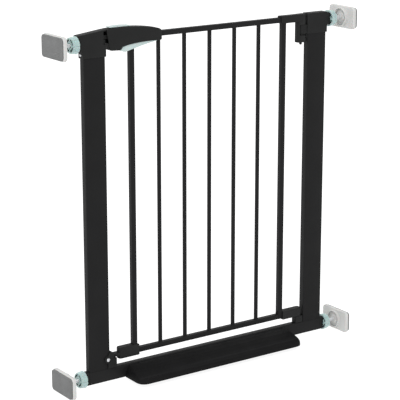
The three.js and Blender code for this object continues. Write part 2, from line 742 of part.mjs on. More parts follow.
// Front view of the handle: deep over the latch, tapering to its end on the leaf's top rail.
function handleOutline() {
  const shape = new THREE.Shape();
  shape.moveTo(-245.6, 709.6);
  shape.lineTo(-228, 708.7);
  shape.quadraticCurveTo(-223, 708.7, -220.5, 714.5);
  shape.bezierCurveTo(-212, 717.6, -190, 721.2, -156, 721.8);
  shape.lineTo(HANDLE_RIGHT - 3.3, 721.4);
  shape.quadraticCurveTo(HANDLE_RIGHT, 721.4, HANDLE_RIGHT, 725);
  shape.lineTo(HANDLE_RIGHT, 738);
  shape.quadraticCurveTo(HANDLE_RIGHT, 745.5, HANDLE_RIGHT - 9.8, 747.2);
  shape.bezierCurveTo(-155, 752, -190, 756, -232, 755.6);
  shape.lineTo(-255, 754.4);
  shape.quadraticCurveTo(-258.4, 754.2, -258, 749.4);
  shape.lineTo(-253.6, 727);
  shape.lineTo(-251, 714);
  shape.quadraticCurveTo(-250.2, 709.8, -245.6, 709.6);
  return shape;
}

// The same outline, drawn in by a distance all round.
function insetOutline(shape, distance) {
  const points = shape.getPoints(2 * CURVE_STEPS).slice(0, -1);
  const clockwise = THREE.ShapeUtils.isClockWise(points) ? -1 : 1;
  return new THREE.Shape(points.map((point, i) => {
    const before = points.at(i - 1);
    const after = points[(i + 1) % points.length];
    const along = new THREE.Vector2().subVectors(after, before).normalize();
    return new THREE.Vector2(
      point.x - clockwise * along.y * distance,
      point.y + clockwise * along.x * distance,
    );
  }));
}

function handleHousing() {
  const outer = handleOutline();
  const cavity = insetOutline(outer, HANDLE_WALL);
  const within = insetOutline(outer, 1);
  const half = HANDLE_DEPTH / 2;
  const room = LEAF_HALF + FIT;
  const fitted = (piece) => common(piece, prism(within, 'xz', -half + 1, half - 1));
  const bosses = HANDLE_SCREWS.map(([x, z]) => fitted(rod('y', 6.6, -half, half, [x, z], 16)));
  const partition = fitted(block(-246.6, -244.4, -half, half, 700, 760));
  const springStop = fitted(block(-191.5, -189, -half, half, LEAF_TOP + 1, 760));
  return cut(
    join(
      cut(prism(outer, 'xz', -half, half, 2), prism(cavity, 'xz', -CAVITY_HALF_DEPTH, CAVITY_HALF_DEPTH)),
      ...bosses,
      partition,
      springStop,
    ),
    block(-229, LEVER_PIVOT[0] + 4, -CAVITY_HALF_DEPTH, CAVITY_HALF_DEPTH, 700, 725.6),
    rod('z', BAR_DIAMETER + RUNNING, 715, 729, [BAR_MIDDLE - ((BAR_COUNT - 1) / 2) * BAR_PITCH, 0]),
    block(-270, -240, -4.4, 4.4, BOLT_LOW - 0.4, BOLT_HIGH + 0.4),
    block(-262, -247, -CAVITY_HALF_DEPTH, CAVITY_HALF_DEPTH, 725, 751.4),
    block(-190, -110, -room, room, LEAF_TOP - LEAF_TUBE - FIT, LEAF_TOP + FIT),
    block(
      STEM_LEFT - 0.4,
      STEM_RIGHT + BUTTON_TRAVEL + 0.4,
      -STEM_HALF_DEPTH - 0.4,
      STEM_HALF_DEPTH + 0.4,
      752.4,
      760,
    ),
    rod('y', 3 + RUNNING, -half + 1.4, half - 1.4, LEVER_PIVOT, 14),
    ...HANDLE_SCREWS.map((centre) => rod('y', 3 + RUNNING, -8, half + 1, centre, 14)),
    ...HANDLE_SCREWS.map((centre) => rod('y', 6.2, half - 2, half + 1, centre)),
  );
}

function handleShell(housing, side) {
  const far = side * HANDLE_DEPTH;
  const near = side * FIT / 2;
  return common(housing, block(-300, -80, Math.min(far, near), Math.max(far, near), 690, 780));
}

function handleScrew([x, z]) {
  const face = HANDLE_DEPTH / 2 - 2 + FIT;
  const screw = turned(
    [[0, -7.6], [1.5, -7.6], [1.5, face], [2.8, face], [2.5, face + 1.3], [0, face + 1.6]],
    14,
  );
  return screw.translate(x, 0, z);
}

function leverPin() {
  const half = HANDLE_DEPTH / 2 - 1.4 - FIT;
  return rod('y', 2.6, -half, half, LEVER_PIVOT, 14);
}

// ---------------------------------------------------------------- leaf: latch mechanism

function latchBolt() {
  const side = polygon([
    [-264.4, BOLT_LOW + 1.2], [-263.2, BOLT_LOW], [-238, BOLT_LOW], [-232, 728], [-229, 728],
    [-229, BOLT_LOW], [-226, BOLT_LOW], [-226, BOLT_HIGH], [-232.5, BOLT_HIGH], [-232.5, 744.6],
    [-236, 744.6], [-236, BOLT_HIGH], [-263.2, BOLT_HIGH], [-264.4, BOLT_HIGH - 1.2],
  ]);
  return prism(side, 'xz', -4, 4);
}

function latchSpring() {
  return coilSpring(2.9, 7, -225.2, -201.6, (BOLT_LOW + BOLT_HIGH) / 2);
}

// The cap slides on the housing; the foot under it holds it down and pushes on its spring.
function slideButton() {
  const cap = new THREE.Shape();
  cap.moveTo(-249, BUTTON_Z);
  cap.lineTo(-200.5, BUTTON_Z);
  cap.lineTo(-198.7, 757.8);
  cap.quadraticCurveTo(-224, 760.4, -250.8, 757.8);
  cap.closePath();
  return join(
    prism(cap, 'xz', -7.5, 7.5, 0.7),
    block(STEM_LEFT, STEM_RIGHT, -STEM_HALF_DEPTH, STEM_HALF_DEPTH, 748, BUTTON_Z + 1),
    block(-240, -213.2, -6, 6, 748, 751.4),
    block(-230.6, -228.8, -3, 3, 745.4, 749),
  );
}

function buttonSpring() {
  return coilSpring(2, 7, -212.4, -192.3, 749.8);
}

// A curved grip bar under the handle, open in the middle where the stile passes through it.
function releaseLever() {
  const grip = new THREE.Shape();
  grip.moveTo(-225, 712);
  grip.quadraticCurveTo(-220, 704.4, -212.6, 704.2);
  grip.bezierCurveTo(-195, 708.6, -165, 716.4, -136, 720.6);
  grip.lineTo(-135.2, 724);
  grip.lineTo(-136.6, 728);
  grip.lineTo(-140.6, 728);
  grip.lineTo(-144, 724.2);
  grip.lineTo(-180, 722.6);
  grip.lineTo(-222, 718.4);
  grip.closePath();
  const cam = polygon([
    [-243, 713], [-220, 713], [-220, 719], [-226, 720.3], [-232.7, 727], [-243, 727],
  ]);
  return cut(
    join(
      prism(grip, 'xz', -LEVER_HALF_DEPTH, LEVER_HALF_DEPTH, 1.2),
      prism(cam, 'xz', -3, 3),
    ),
    block(-205, -186.4, -6.6, 6.6, 690, 740),
    rod('y', 3 + RUNNING, -20, 20, LEVER_PIVOT, 14),
  );
}

// ---------------------------------------------------------------- wall sets

// Local frame of a wall set: +X runs outwards from the frame's side, on the spindle's axis.
const SPINDLE_INNER_END = -18.5;
const FOOT_RADIUS = 11;

function spindle(reach) {
  const radius = SPINDLE_DIAMETER / 2;
  const seat = reach + RECESS_DEPTH - FIT;
  const screw = turned([
    [0, SPINDLE_INNER_END], [radius - 0.8, SPINDLE_INNER_END], [radius, SPINDLE_INNER_END + 0.8],
    [radius, seat - 4.5], [5.5, seat - 3], [FOOT_RADIUS, seat - 2], [FOOT_RADIUS, seat], [0, seat],
  ], 24);
  return screw.rotateZ(-Math.PI / 2);
}

const WHEEL_GRIPS = 8;
const WHEEL_SLOTS = 4;

// Scalloped rim, with curved slots between the hub and the rim.
function adjustingWheel(bossLength) {
  const rim = WHEEL_DIAMETER / 2;
  const outline = new THREE.Shape();
  const steps = WHEEL_GRIPS * 6;
  const ripple = (angle) => rim - 1.1 * Math.max(0, Math.cos(WHEEL_GRIPS * angle)) ** 4;
  for (let i = 0; i < steps; i += 1) {
    const angle = (i / steps) * 2 * Math.PI;
    const point = [ripple(angle) * Math.cos(angle), ripple(angle) * Math.sin(angle)];
    if (i === 0) outline.moveTo(...point);
    else outline.lineTo(...point);
  }
  outline.closePath();
  for (let i = 0; i < WHEEL_SLOTS; i += 1) {
    const middle = (i + 0.5) * (2 * Math.PI / WHEEL_SLOTS);
    outline.holes.push(new THREE.Path([
      ...arcPoints(0, 0, 14.4, middle - 0.5, middle + 0.5, 4),
      ...arcPoints(0, 0, 11.2, middle + 0.5, middle - 0.5, 4),
    ]));
  }
  const near = bossLength + FIT;
  const far = near + WHEEL_WIDTH;
  const bore = rod('x', SPINDLE_DIAMETER + RUNNING, near - 1, far + 1, [0, 0]);
  return cut(prism(outline, 'yz', near, far), bore);
}

function wallCup(reach) {
  const collarEnd = reach - COLLAR_LENGTH;
  const plate = prism(roundedRect(CUP_WIDTH, CUP_HEIGHT, 8), 'yz', reach, reach + CUP_DEPTH, 1.5);
  const collar = rod('x', COLLAR_DIAMETER, collarEnd, reach + 2, [0, 0], 32);
  const recess = rod('x', RECESS_DIAMETER, collarEnd - 1, reach + RECESS_DEPTH, [0, 0], 32);
  return cut(join(plate, collar), recess);
}

function wallPad(reach) {
  const start = reach + CUP_DEPTH + FIT;
  const outline = roundedRect(CUP_WIDTH - 2 * PAD_INSET, CUP_HEIGHT - 2 * PAD_INSET, 7);
  return prism(outline, 'yz', start, start + PAD_DEPTH, 0.8);
}

// Each spindle is screwed out on its own: reach is from the frame's side to the cup's plate.
const WALL_SETS = [
  { label: 'upper_left', side: -1, height: SPINDLE_HIGH, boss: LATCH_BOSS_LENGTH, reach: 56 },
  { label: 'upper_right', side: 1, height: SPINDLE_HIGH, boss: BOSS_LENGTH, reach: 49.3 },
  { label: 'lower_left', side: -1, height: SPINDLE_LOW, boss: PLUG_LENGTH, reach: 52 },
  { label: 'lower_right', side: 1, height: SPINDLE_LOW, boss: PLUG_LENGTH, reach: 49.3 },
];

function wallSet({ label, side, height, boss, reach }) {
  const set = new THREE.Group();
  set.position.set(side * POST_OUTER, 0, height);
  set.rotation.z = side > 0 ? 0 : HALF_TURN;
  place(set, `spindle_${label}`, spindle(reach), zinc);
  place(set, `wheel_${label}`, adjustingWheel(boss), wheelPlastic);
  place(set, `wall_cup_${label}`, wallCup(reach), whitePlastic);
  place(set, `wall_pad_${label}`, wallPad(reach), greyRubber);
  return set;
}

// ---------------------------------------------------------------- assembly

function frameGroup() {
  const frame = new THREE.Group();
  place(frame, 'threshold_rail', thresholdRail(), blackSteel);
  place(frame, 'post_left', post(-1), blackSteel);
  place(frame, 'post_right', post(1), blackSteel);
  place(frame, 'post_cap_left', leftCap(), blackPlastic);
  place(frame, 'post_cap_right', rightCap(), blackPlastic);
  place(frame, 'cap_screw_left', capScrew(-1), zinc);
  place(frame, 'cap_screw_right', capScrew(1), zinc);
  place(frame, 'threshold_ramp', thresholdRamp(), rampPlastic);
  RAMP_SCREWS.forEach((x, i) => place(frame, `ramp_screw_${i + 1}`, rampScrew(x), zinc));
  place(frame, 'latch_catch', latchCatch(), blackPlastic);
  place(frame, 'catch_rivet', catchRivet(), zinc);
  place(frame, 'hinge_foot', hingeFoot(), blackPlastic);
  for (const [label, side] of [['left', -1], ['right', 1]]) {
    const end = new THREE.Group();
    end.position.set(side * POST_OUTER, 0, RAIL_HEIGHT / 2);
    end.rotation.z = side > 0 ? 0 : HALF_TURN;
    place(end, `rail_plug_${label}`, railPlug(), blackPlastic);
    frame.add(end);
  }
  return frame;
}

function leafGroup() {
  const leaf = new THREE.Group();
  place(leaf, 'stile_left', stile(LEAF_LEFT), blackSteel);
  place(leaf, 'stile_right', rightStile(), blackSteel);
  place(leaf, 'leaf_top_rail', leafRail(LEAF_TOP - LEAF_TUBE), blackSteel);
  place(leaf, 'leaf_bottom_rail', leafRail(LEAF_BOTTOM), blackSteel);
  for (let i = 0; i < BAR_COUNT; i += 1) {
    place(leaf, `bar_${i + 1}`, leafBar(i), blackSteel);
  }
  place(leaf, 'upper_hinge_arm', upperHingeArm(), blackPlastic);
  place(leaf, 'lower_hinge_arm', lowerHingeArm(), blackPlastic);
  place(leaf, 'lower_hinge_screw', hingeScrew(), blackSteel);
  place(leaf, 'latch_shoe', latchShoe(), blackPlastic);
  place(leaf, 'upper_hinge_pin', upperHingePin(), zinc);
  place(leaf, 'lower_hinge_pin', lowerHingePin(), zinc);
  return leaf;
}

function handleGroup() {
  const handle = new THREE.Group();
  const housing = handleHousing();
  place(handle, 'handle_front', handleShell(housing, -1), blackPlastic);
  place(handle, 'handle_rear', handleShell(housing, 1), blackPlastic);
  HANDLE_SCREWS.forEach((centre, i) => place(handle, `handle_screw_${i + 1}`, handleScrew(centre), zinc));
  place(handle, 'slide_button', slideButton(), aquaPlastic);
  place(handle, 'button_spring', buttonSpring(), zinc);
  place(handle, 'release_lever', releaseLever(), aquaPlastic);
  place(handle, 'lever_pin', leverPin(), zinc);
  place(handle, 'latch_bolt', latchBolt(), zinc);
  place(handle, 'latch_spring', latchSpring(), zinc);
  return handle;
}

gate.add(frameGroup());
gate.add(leafGroup());
gate.add(handleGroup());
WALL_SETS.forEach((spot) => gate.add(wallSet(spot)));

export default gate;
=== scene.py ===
"""Studio scene of a pressure-fit safety gate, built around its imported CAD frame.

Lengths in this file are in millimetres in the CAD's own axes: +X across the doorway towards the
hinges, +Y through it away from the threshold ramp, +Z up, with Z = 0 at the rail's underside.
"""
import math

import bmesh
import bpy
from mathutils import Matrix, Vector


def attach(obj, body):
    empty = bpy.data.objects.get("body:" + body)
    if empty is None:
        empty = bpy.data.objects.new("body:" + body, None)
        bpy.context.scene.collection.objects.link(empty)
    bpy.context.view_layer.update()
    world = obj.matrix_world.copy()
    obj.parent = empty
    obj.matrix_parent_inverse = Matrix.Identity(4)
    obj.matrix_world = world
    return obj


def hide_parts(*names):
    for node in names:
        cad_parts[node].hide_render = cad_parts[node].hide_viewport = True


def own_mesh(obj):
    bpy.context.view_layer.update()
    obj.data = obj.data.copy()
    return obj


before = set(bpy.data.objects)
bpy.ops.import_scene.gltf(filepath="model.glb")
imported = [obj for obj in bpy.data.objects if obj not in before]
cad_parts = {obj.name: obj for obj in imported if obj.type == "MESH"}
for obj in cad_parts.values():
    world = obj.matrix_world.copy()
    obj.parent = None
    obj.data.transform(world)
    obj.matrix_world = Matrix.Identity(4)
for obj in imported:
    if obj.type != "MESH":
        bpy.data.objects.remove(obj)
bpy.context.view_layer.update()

MM = 0.001

# ---------------------------------------------------------------- dimensions shared with the CAD

FRAME_HALF = 311.5
POST_WIDTH, POST_DEPTH, POST_CORNER, POST_TOP = 50.5, 16.0, 2.0, 722.0
POST_INNER = FRAME_HALF - POST_WIDTH
POST_MIDDLE = FRAME_HALF - POST_WIDTH / 2
RAIL_HEIGHT = 29.0
STEEL_WALL = 1.2
FIT = 0.3
RUNNING = 2 * FIT                 # what a hole is wider than the pin in it
RAMP_SCREWS = (-150, 0, 150)
CAP_OUTER = FRAME_HALF + 2.0
CAP_INNER = POST_INNER - 2.0
CAP_HALF_DEPTH = 10.0
CAP_LOW = 699.0
BOSS_LENGTH, LATCH_BOSS_LENGTH, PLUG_LENGTH = 10.5, 13.0, 9.8
SPINDLE_LOW, SPINDLE_HIGH = RAIL_HEIGHT / 2, 727.4
SPINDLE_BORE = 8.6

TUBE = 11.2
TUBE_CORNER = 1.0
LEAF_LEFT, LEAF_RIGHT = -200.8, 202.3
LEAF_LOW, LEAF_TOP = 47.9, 740.0
BAR_DIAMETER = 9.0
BAR_WALL = 1.0
BAR_MIDDLE, BAR_PITCH = 1.4, 64.6
BARS = [BAR_MIDDLE + (i - 2) * BAR_PITCH for i in range(5)]

HINGE_X = 246.5
PIN_BORE = 6.6
BLOCK_DEPTH = 16.0
LUG_LOW, LUG_HIGH, LUG_RADIUS = 700.0, 719.7, 7.6
BEARING_RADIUS = 6.0
LIFT = 3.0

CUP_DEPTH = 8.5
CUP_WIDTH, CUP_HEIGHT = 85.5, 49.0
COLLAR_LENGTH, RECESS_DEPTH = 5.0, 1.5
PAD_DEPTH, PAD_INSET = 3.5, 1.75

HANDLE_HALF = 12.0
LEVER_PIVOT = (-138.6, 725.8)
HANDLE_SCREWS = [(-247.2, 721), (-178, 747.5), (-143, 744.6)]


# ---------------------------------------------------------------- materials

class Look:
    """A procedural material: two tones, uneven gloss, a fine surface grain and worn edges."""

    def __init__(self, name):
        self.material = bpy.data.materials.new(name)
        self.material.use_nodes = True
        self.tree = self.material.node_tree
        self.tree.nodes.clear()
        self.shader = self.node("ShaderNodeBsdfPrincipled")
        output = self.node("ShaderNodeOutputMaterial")
        self.link(self.shader.outputs["BSDF"], output.inputs["Surface"])
        self.place = self.node("ShaderNodeTexCoord").outputs["Object"]

    def node(self, kind, **inputs):
        made = self.tree.nodes.new(kind)
        for key, value in inputs.items():
            made.inputs[key.replace("_", " ")].default_value = value
        return made

    def link(self, source, target):
        self.tree.links.new(source, target)

    def noise(self, scale, detail=3.0, stretch=None):
        made = self.node("ShaderNodeTexNoise", Scale=scale, Detail=detail)
        if stretch is None:
            self.link(self.place, made.inputs["Vector"])
            return made.outputs["Fac"]
        mapping = self.node("ShaderNodeMapping", Scale=stretch)
        self.link(self.place, mapping.inputs["Vector"])
        self.link(mapping.outputs["Vector"], made.inputs["Vector"])
        return made.outputs["Fac"]

    def spread(self, source, low, high, from_low=0.3, from_high=0.7):
        made = self.node("ShaderNodeMapRange", To_Min=low, To_Max=high)
        made.inputs["From Min"].default_value = from_low
        made.inputs["From Max"].default_value = from_high
        self.link(source, made.inputs["Value"])
        return made.outputs["Result"]

    def mix(self, factor, first, second):
        made = self.tree.nodes.new("ShaderNodeMix")
        made.data_type = "RGBA"
        self.link(factor, made.inputs["Factor"])
        for socket, value in ((made.inputs["A"], first), (made.inputs["B"], second)):
            if isinstance(value, tuple):
                socket.default_value = (*value, 1.0)
            else:
                self.link(value, socket)
        return made.outputs["Result"]

    def colour(self, dark, light, worn, wear=0.5, patch=18.0, fleck=900.0):
        broad = self.spread(self.noise(patch, 4.0), 0.0, 1.0)
        tone = self.mix(broad, dark, light)
        specks = self.spread(self.noise(fleck, 2.0), 0.0, 0.35)
        tone = self.mix(specks, tone, light)
        edge = self.node("ShaderNodeNewGeometry").outputs["Pointiness"]
        rubbed = self.spread(edge, 0.0, wear, 0.52, 0.62)
        self.link(self.mix(rubbed, tone, worn), self.shader.inputs["Base Color"])

    def gloss(self, low, high, scale=60.0):
        self.link(self.spread(self.noise(scale, 5.0), low, high), self.shader.inputs["Roughness"])

    def grain(self, scale, depth, strength=0.4, detail=2.0, stretch=None):
        made = self.node("ShaderNodeBump", Strength=strength, Distance=depth * MM)
        self.link(self.noise(scale, detail, stretch), made.inputs["Height"])
        self.link(made.outputs["Normal"], self.shader.inputs["Normal"])

    def set(self, **values):
        for key, value in values.items():
            self.shader.inputs[key.replace("_", " ")].default_value = value
        return self


def powder_coat():
    look = Look("black_powder_coat")
    look.colour((0.0055, 0.0055, 0.0056), (0.0078, 0.0078, 0.008), (0.022, 0.022, 0.0225), 0.3)
    look.gloss(0.4, 0.52)
    look.grain(700.0, 0.08, 0.5)
    return look.set(Specular_IOR_Level=0.09).material


def black_moulding():
    look = Look("black_moulding")
    look.colour((0.0092, 0.0095, 0.0094), (0.0128, 0.0131, 0.013), (0.03, 0.031, 0.031), 0.3)
    look.gloss(0.5, 0.62, 40.0)
    look.grain(1500.0, 0.06, 0.55)
    return look.set(Specular_IOR_Level=0.12).material


def ramp_moulding():
    look = Look("ramp_moulding")
    look.colour((0.005, 0.005, 0.0052), (0.0074, 0.0074, 0.0076), (0.018, 0.018, 0.019), 0.3)
    look.gloss(0.5, 0.66, 25.0)
    look.grain(1100.0, 0.1, 0.6)
    return look.set(Specular_IOR_Level=0.06).material


def aqua_moulding():
    look = Look("aqua_moulding")
    look.colour((0.4, 0.485, 0.475), (0.45, 0.535, 0.525), (0.58, 0.66, 0.65), 0.5, 30.0)
    look.gloss(0.34, 0.46, 50.0)
    look.grain(1600.0, 0.05, 0.4)
    return look.set(Subsurface_Weight=0.06, Subsurface_Scale=0.002, Specular_IOR_Level=0.3).material


def wheel_moulding():
    look = Look("milky_aqua_moulding")
    look.colour((0.42, 0.58, 0.565), (0.51, 0.67, 0.655), (0.68, 0.82, 0.8), 0.5, 60.0)
    look.gloss(0.26, 0.4, 80.0)
    look.grain(1400.0, 0.04, 0.3)
    look.set(Subsurface_Weight=0.06, Subsurface_Scale=0.003, Transmission_Weight=0.05)
    return look.set(IOR=1.46, Specular_IOR_Level=0.35, Alpha=0.72).material


# Painted shade: a dark aqua that stands in for the shadow inside the wheel's slots, not a tone of the
# moulding.
def slot_painted_shade_moulding():
    look = Look("aqua_slot_painted_shade")
    look.colour((0.07, 0.11, 0.105), (0.1, 0.15, 0.145), (0.2, 0.28, 0.27), 0.3, 60.0)
    look.gloss(0.4, 0.55, 80.0)
    look.grain(1400.0, 0.04, 0.3)
    return look.set(Specular_IOR_Level=0.2).material


def white_moulding():
    look = Look("white_moulding")
    look.colour((0.48, 0.48, 0.47), (0.53, 0.53, 0.52), (0.68, 0.68, 0.67), 0.5, 25.0)
    look.gloss(0.4, 0.54, 40.0)
    look.grain(1500.0, 0.05, 0.35)
    return look.set(Subsurface_Weight=0.05, Subsurface_Scale=0.002, Specular_IOR_Level=0.25).material


def grey_pad():
    look = Look("grey_foam_pad")
    look.colour((0.125, 0.127, 0.127), (0.16, 0.162, 0.162), (0.22, 0.22, 0.22), 0.5, 45.0, 500.0)
    look.gloss(0.78, 0.92, 90.0)
    look.grain(520.0, 0.25, 0.7, 4.0)
    return look.set(Specular_IOR_Level=0.2).material


def zinc_plate():
    look = Look("zinc_plate")
    look.colour((0.5, 0.51, 0.53), (0.6, 0.61, 0.62), (0.75, 0.76, 0.77), 0.5, 120.0)
    look.gloss(0.24, 0.42, 160.0)
    look.grain(900.0, 0.03, 0.35, 3.0, (1.0, 1.0, 0.15))
    return look.set(Metallic=1.0).material


STEEL = powder_coat()
BLACK = black_moulding()
RAMP = ramp_moulding()
AQUA = aqua_moulding()
WHEEL = wheel_moulding()
# The painted shade for the walls of the wheels' slots.
SLOT_PAINTED_SHADE = slot_painted_shade_moulding()
WHITE = white_moulding()
PAD = grey_pad()
ZINC = zinc_plate()


# ---------------------------------------------------------------- outlines

class Outline:
    """A closed outline, drawn point by point."""

    def __init__(self, a, b):
        self.points = [(a, b)]

    def line(self, a, b):
        self.points.append((a, b))
        return self

    def quad(self, ca, cb, a, b, steps=10):
        a0, b0 = self.points[-1]
        for i in range(1, steps + 1):
            t = i / steps
            u = 1 - t
            self.line(u * u * a0 + 2 * u * t * ca + t * t * a, u * u * b0 + 2 * u * t * cb + t * t * b)
        return self

    def cubic(self, ca, cb, da, db, a, b, steps=16):
        a0, b0 = self.points[-1]
        for i in range(1, steps + 1):
            t = i / steps
            u = 1 - t
            k0, k1, k2, k3 = u**3, 3 * u * u * t, 3 * u * t * t, t**3
            self.line(k0 * a0 + k1 * ca + k2 * da + k3 * a, k0 * b0 + k1 * cb + k2 * db + k3 * b)
        return self

    def arc(self, ca, cb, radius, start, end, steps=12):
        for i in range(steps + 1):
            angle = math.radians(start + (end - start) * i / steps)
            self.line(ca + radius * math.cos(angle), cb + radius * math.sin(angle))
        return self

    def closed(self):
        points = []
        for point in self.points:
            if not points or math.dist(point, points[-1]) > 0.01:
                points.append(point)
        if math.dist(points[0], points[-1]) < 0.01:
            points.pop()
        return points


def rounded_rect(width, height, radius, ca=0.0, cb=0.0, steps=6):
    a, b = width / 2 - radius, height / 2 - radius
    points = []
    for i, (da, db) in enumerate(((a, -b), (a, b), (-a, b), (-a, -b))):
        for k in range(steps + 1):
            angle = math.radians(90 * (i - 1 + k / steps))
            points.append((ca + da + radius * math.cos(angle), cb + db + radius * math.sin(angle)))
    return points


def circle(radius, ca=0.0, cb=0.0, steps=40):
    angles = [2 * math.pi * i / steps for i in range(steps)]
    return [(ca + radius * math.cos(t), cb + radius * math.sin(t)) for t in angles]


def rectangle(a0, a1, b0, b1):
    return [(a0, b0), (a1, b0), (a1, b1), (a0, b1)]


# ---------------------------------------------------------------- meshes

PLANES = {
    "xy": ((1, 0, 0), (0, 1, 0), (0, 0, 1)),
    "xz": ((1, 0, 0), (0, 0, 1), (0, -1, 0)),
    "yz": ((0, 1, 0), (0, 0, 1), (1, 0, 0)),
}


def evaluated_mesh(obj):
    bpy.context.view_layer.update()
    graph = bpy.context.evaluated_depsgraph_get()
    return bpy.data.meshes.new_from_object(obj.evaluated_get(graph))


def link_object(name, data):
    obj = bpy.data.objects.new(name, data)
    bpy.context.scene.collection.objects.link(obj)
    return obj


def plate(loops, plane, start, end, bevel=0.0, rings=4):
    """Outlines (the later ones are holes) made solid between two stations, with rounded rims."""
    curve = bpy.data.curves.new("outline", "CURVE")
    curve.dimensions = "2D"
    curve.fill_mode = "BOTH"
    curve.extrude = ((end - start) / 2 - bevel) * MM
    curve.bevel_depth = bevel * MM
    curve.bevel_resolution = rings
    curve.offset = -bevel * MM
    for loop in loops:
        spline = curve.splines.new("POLY")
        spline.points.add(len(loop) - 1)
        for point, (a, b) in zip(spline.points, loop):
            point.co = (a * MM, b * MM, 0.0, 1.0)
        spline.use_cyclic_u = True
    holder = link_object("outline", curve)
    mesh = evaluated_mesh(holder)
    bpy.data.objects.remove(holder)
    across, up, out = (Vector(axis) for axis in PLANES[plane])
    turn = Matrix((across, up, out)).transposed().to_4x4()
    middle = (start + end) / 2 * MM
    shift = Vector((0, middle, 0)) if plane == "xz" else out * middle
    mesh.transform(Matrix.Translation(shift) @ turn)
    return tidy(mesh)


def tidy(mesh):
    made = bmesh.new()
    made.from_mesh(mesh)
    bmesh.ops.remove_doubles(made, verts=made.verts, dist=2e-6)
    bmesh.ops.dissolve_degenerate(made, dist=1e-7, edges=made.edges)
    bmesh.ops.recalc_face_normals(made, faces=made.faces)
    made.to_mesh(mesh)
    made.free()
    return mesh


def grid_mesh(rings):
    """Rings of equally many points (mm) skinned into one closed surface."""
    made = bmesh.new()
    rows = [[made.verts.new(Vector(p) * MM) for p in ring] for ring in rings]
    count = len(rows[0])
    for lower, upper in zip(rows, rows[1:]):
        for i in range(count):
            j = (i + 1) % count
            made.faces.new((lower[i], lower[j], upper[j], upper[i]))
    made.faces.new(list(reversed(rows[0])))
    made.faces.new(rows[-1])
    mesh = bpy.data.meshes.new("skin")
    made.to_mesh(mesh)
    made.free()
    return tidy(mesh)


AXES = {"x": Vector((1, 0, 0)), "y": Vector((0, 1, 0)), "z": Vector((0, 0, 1))}


def turned(profile, axis, centre, steps=48):
    """Revolves (radius, station) pairs about an axis through centre. Radii stay above zero."""
    out = AXES[axis]
    side = Vector((0, 0, 1)) if axis != "z" else Vector((1, 0, 0))
    other = out.cross(side)
    rings = []
    for radius, station in profile:
        ring = []
        for i in range(steps):
            angle = 2 * math.pi * i / steps
            spoke = side * math.cos(angle) + other * math.sin(angle)
            ring.append(Vector(centre) + out * station + spoke * max(radius, 0.02))
        rings.append(ring)
    return grid_mesh(rings)


def rod(axis, diameter, start, end, centre, steps=40):
    return turned([(diameter / 2, start), (diameter / 2, end)], axis, centre, steps)


def block(x0, x1, y0, y1, z0, z1):
    return plate([rectangle(x0, x1, y0, y1)], "xy", z0, z1)


def swept(path, radius, sides=10, cyclic=False):
    """A round wire along a list of points (mm)."""
    curve = bpy.data.curves.new("wire", "CURVE")
    curve.dimensions = "3D"
    curve.bevel_depth = radius * MM
    curve.bevel_resolution = max(1, sides // 4)
    curve.use_fill_caps = True
    spline = curve.splines.new("POLY")
    spline.points.add(len(path) - 1)
    for point, place in zip(spline.points, path):
        point.co = (*(Vector(place) * MM), 1.0)
    spline.use_cyclic_u = cyclic
    holder = link_object("wire", curve)
    mesh = evaluated_mesh(holder)
    bpy.data.objects.remove(holder)
    return tidy(mesh)


def combined(meshes):
    made = bmesh.new()
    for mesh in meshes:
        made.from_mesh(mesh)
    whole = bpy.data.meshes.new("combined")
    made.to_mesh(whole)
    made.free()
    return whole


def boolean(base, tools, operation):
    holder = link_object("base", base)
    helpers = [link_object("tool", tool) for tool in tools]
    for helper in helpers:
        modifier = holder.modifiers.new("cut", "BOOLEAN")
        modifier.operation = operation
        modifier.solver = "EXACT"
        modifier.object = helper
    mesh = evaluated_mesh(holder)
    for obj in [holder, *helpers]:
        bpy.data.objects.remove(obj)
    return tidy(mesh)


def cut(base, *tools):
    return boolean(base, tools, "DIFFERENCE")


def join(base, *others):
    return boolean(base, others, "UNION")


def common(base, other):
    return boolean(base, [other], "INTERSECT")


def softened(mesh, width, segments=2, angle=32.0):
    """Rounds the sharp edges of a mesh."""
    holder = link_object("soft", mesh)
    modifier = holder.modifiers.new("edges", "BEVEL")
    modifier.width = width * MM
    modifier.segments = segments
    modifier.limit_method = "ANGLE"
    modifier.angle_limit = math.radians(angle)
    made = evaluated_mesh(holder)
    bpy.data.objects.remove(holder)
    return made


SHADE_ANGLE = math.radians(34)


def finished(obj):
    for polygon in obj.data.polygons:
        polygon.use_smooth = True
    obj.data.set_sharp_from_angle(angle=SHADE_ANGLE)


def piece(name, mesh, body, material, *nodes):
    obj = link_object(name, mesh)
    mesh.name = name
    mesh.materials.clear()
    mesh.materials.append(material)
    finished(obj)
    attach(obj, body)
    if nodes:
        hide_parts(*nodes)
    return obj


def side_matrix(side, height):
    """Local frame of a wall set: +X outwards from the frame's side, on the spindle's axis."""
    turn = Matrix.Identity(4) if side > 0 else Matrix.Rotation(math.pi, 4, "Z")
    return Matrix.Translation(Vector((side * FRAME_HALF, 0, height)) * MM) @ turn


# ---------------------------------------------------------------- steel tubes

def tube_loops(width, height, radius, ca=0.0, cb=0.0):
    inner = max(radius - STEEL_WALL, 0.5)
    return [
        rounded_rect(width, height, radius, ca, cb),
        rounded_rect(width - 2 * STEEL_WALL, height - 2 * STEEL_WALL, inner, ca, cb),
    ]


def weld_ring(points, radius):
    return swept(points, radius, 8, True)


def rect_path(width, depth, radius, cx, cy, z):
    return [(x, y, z) for x, y in rounded_rect(width, depth, radius, cx, cy, 4)]


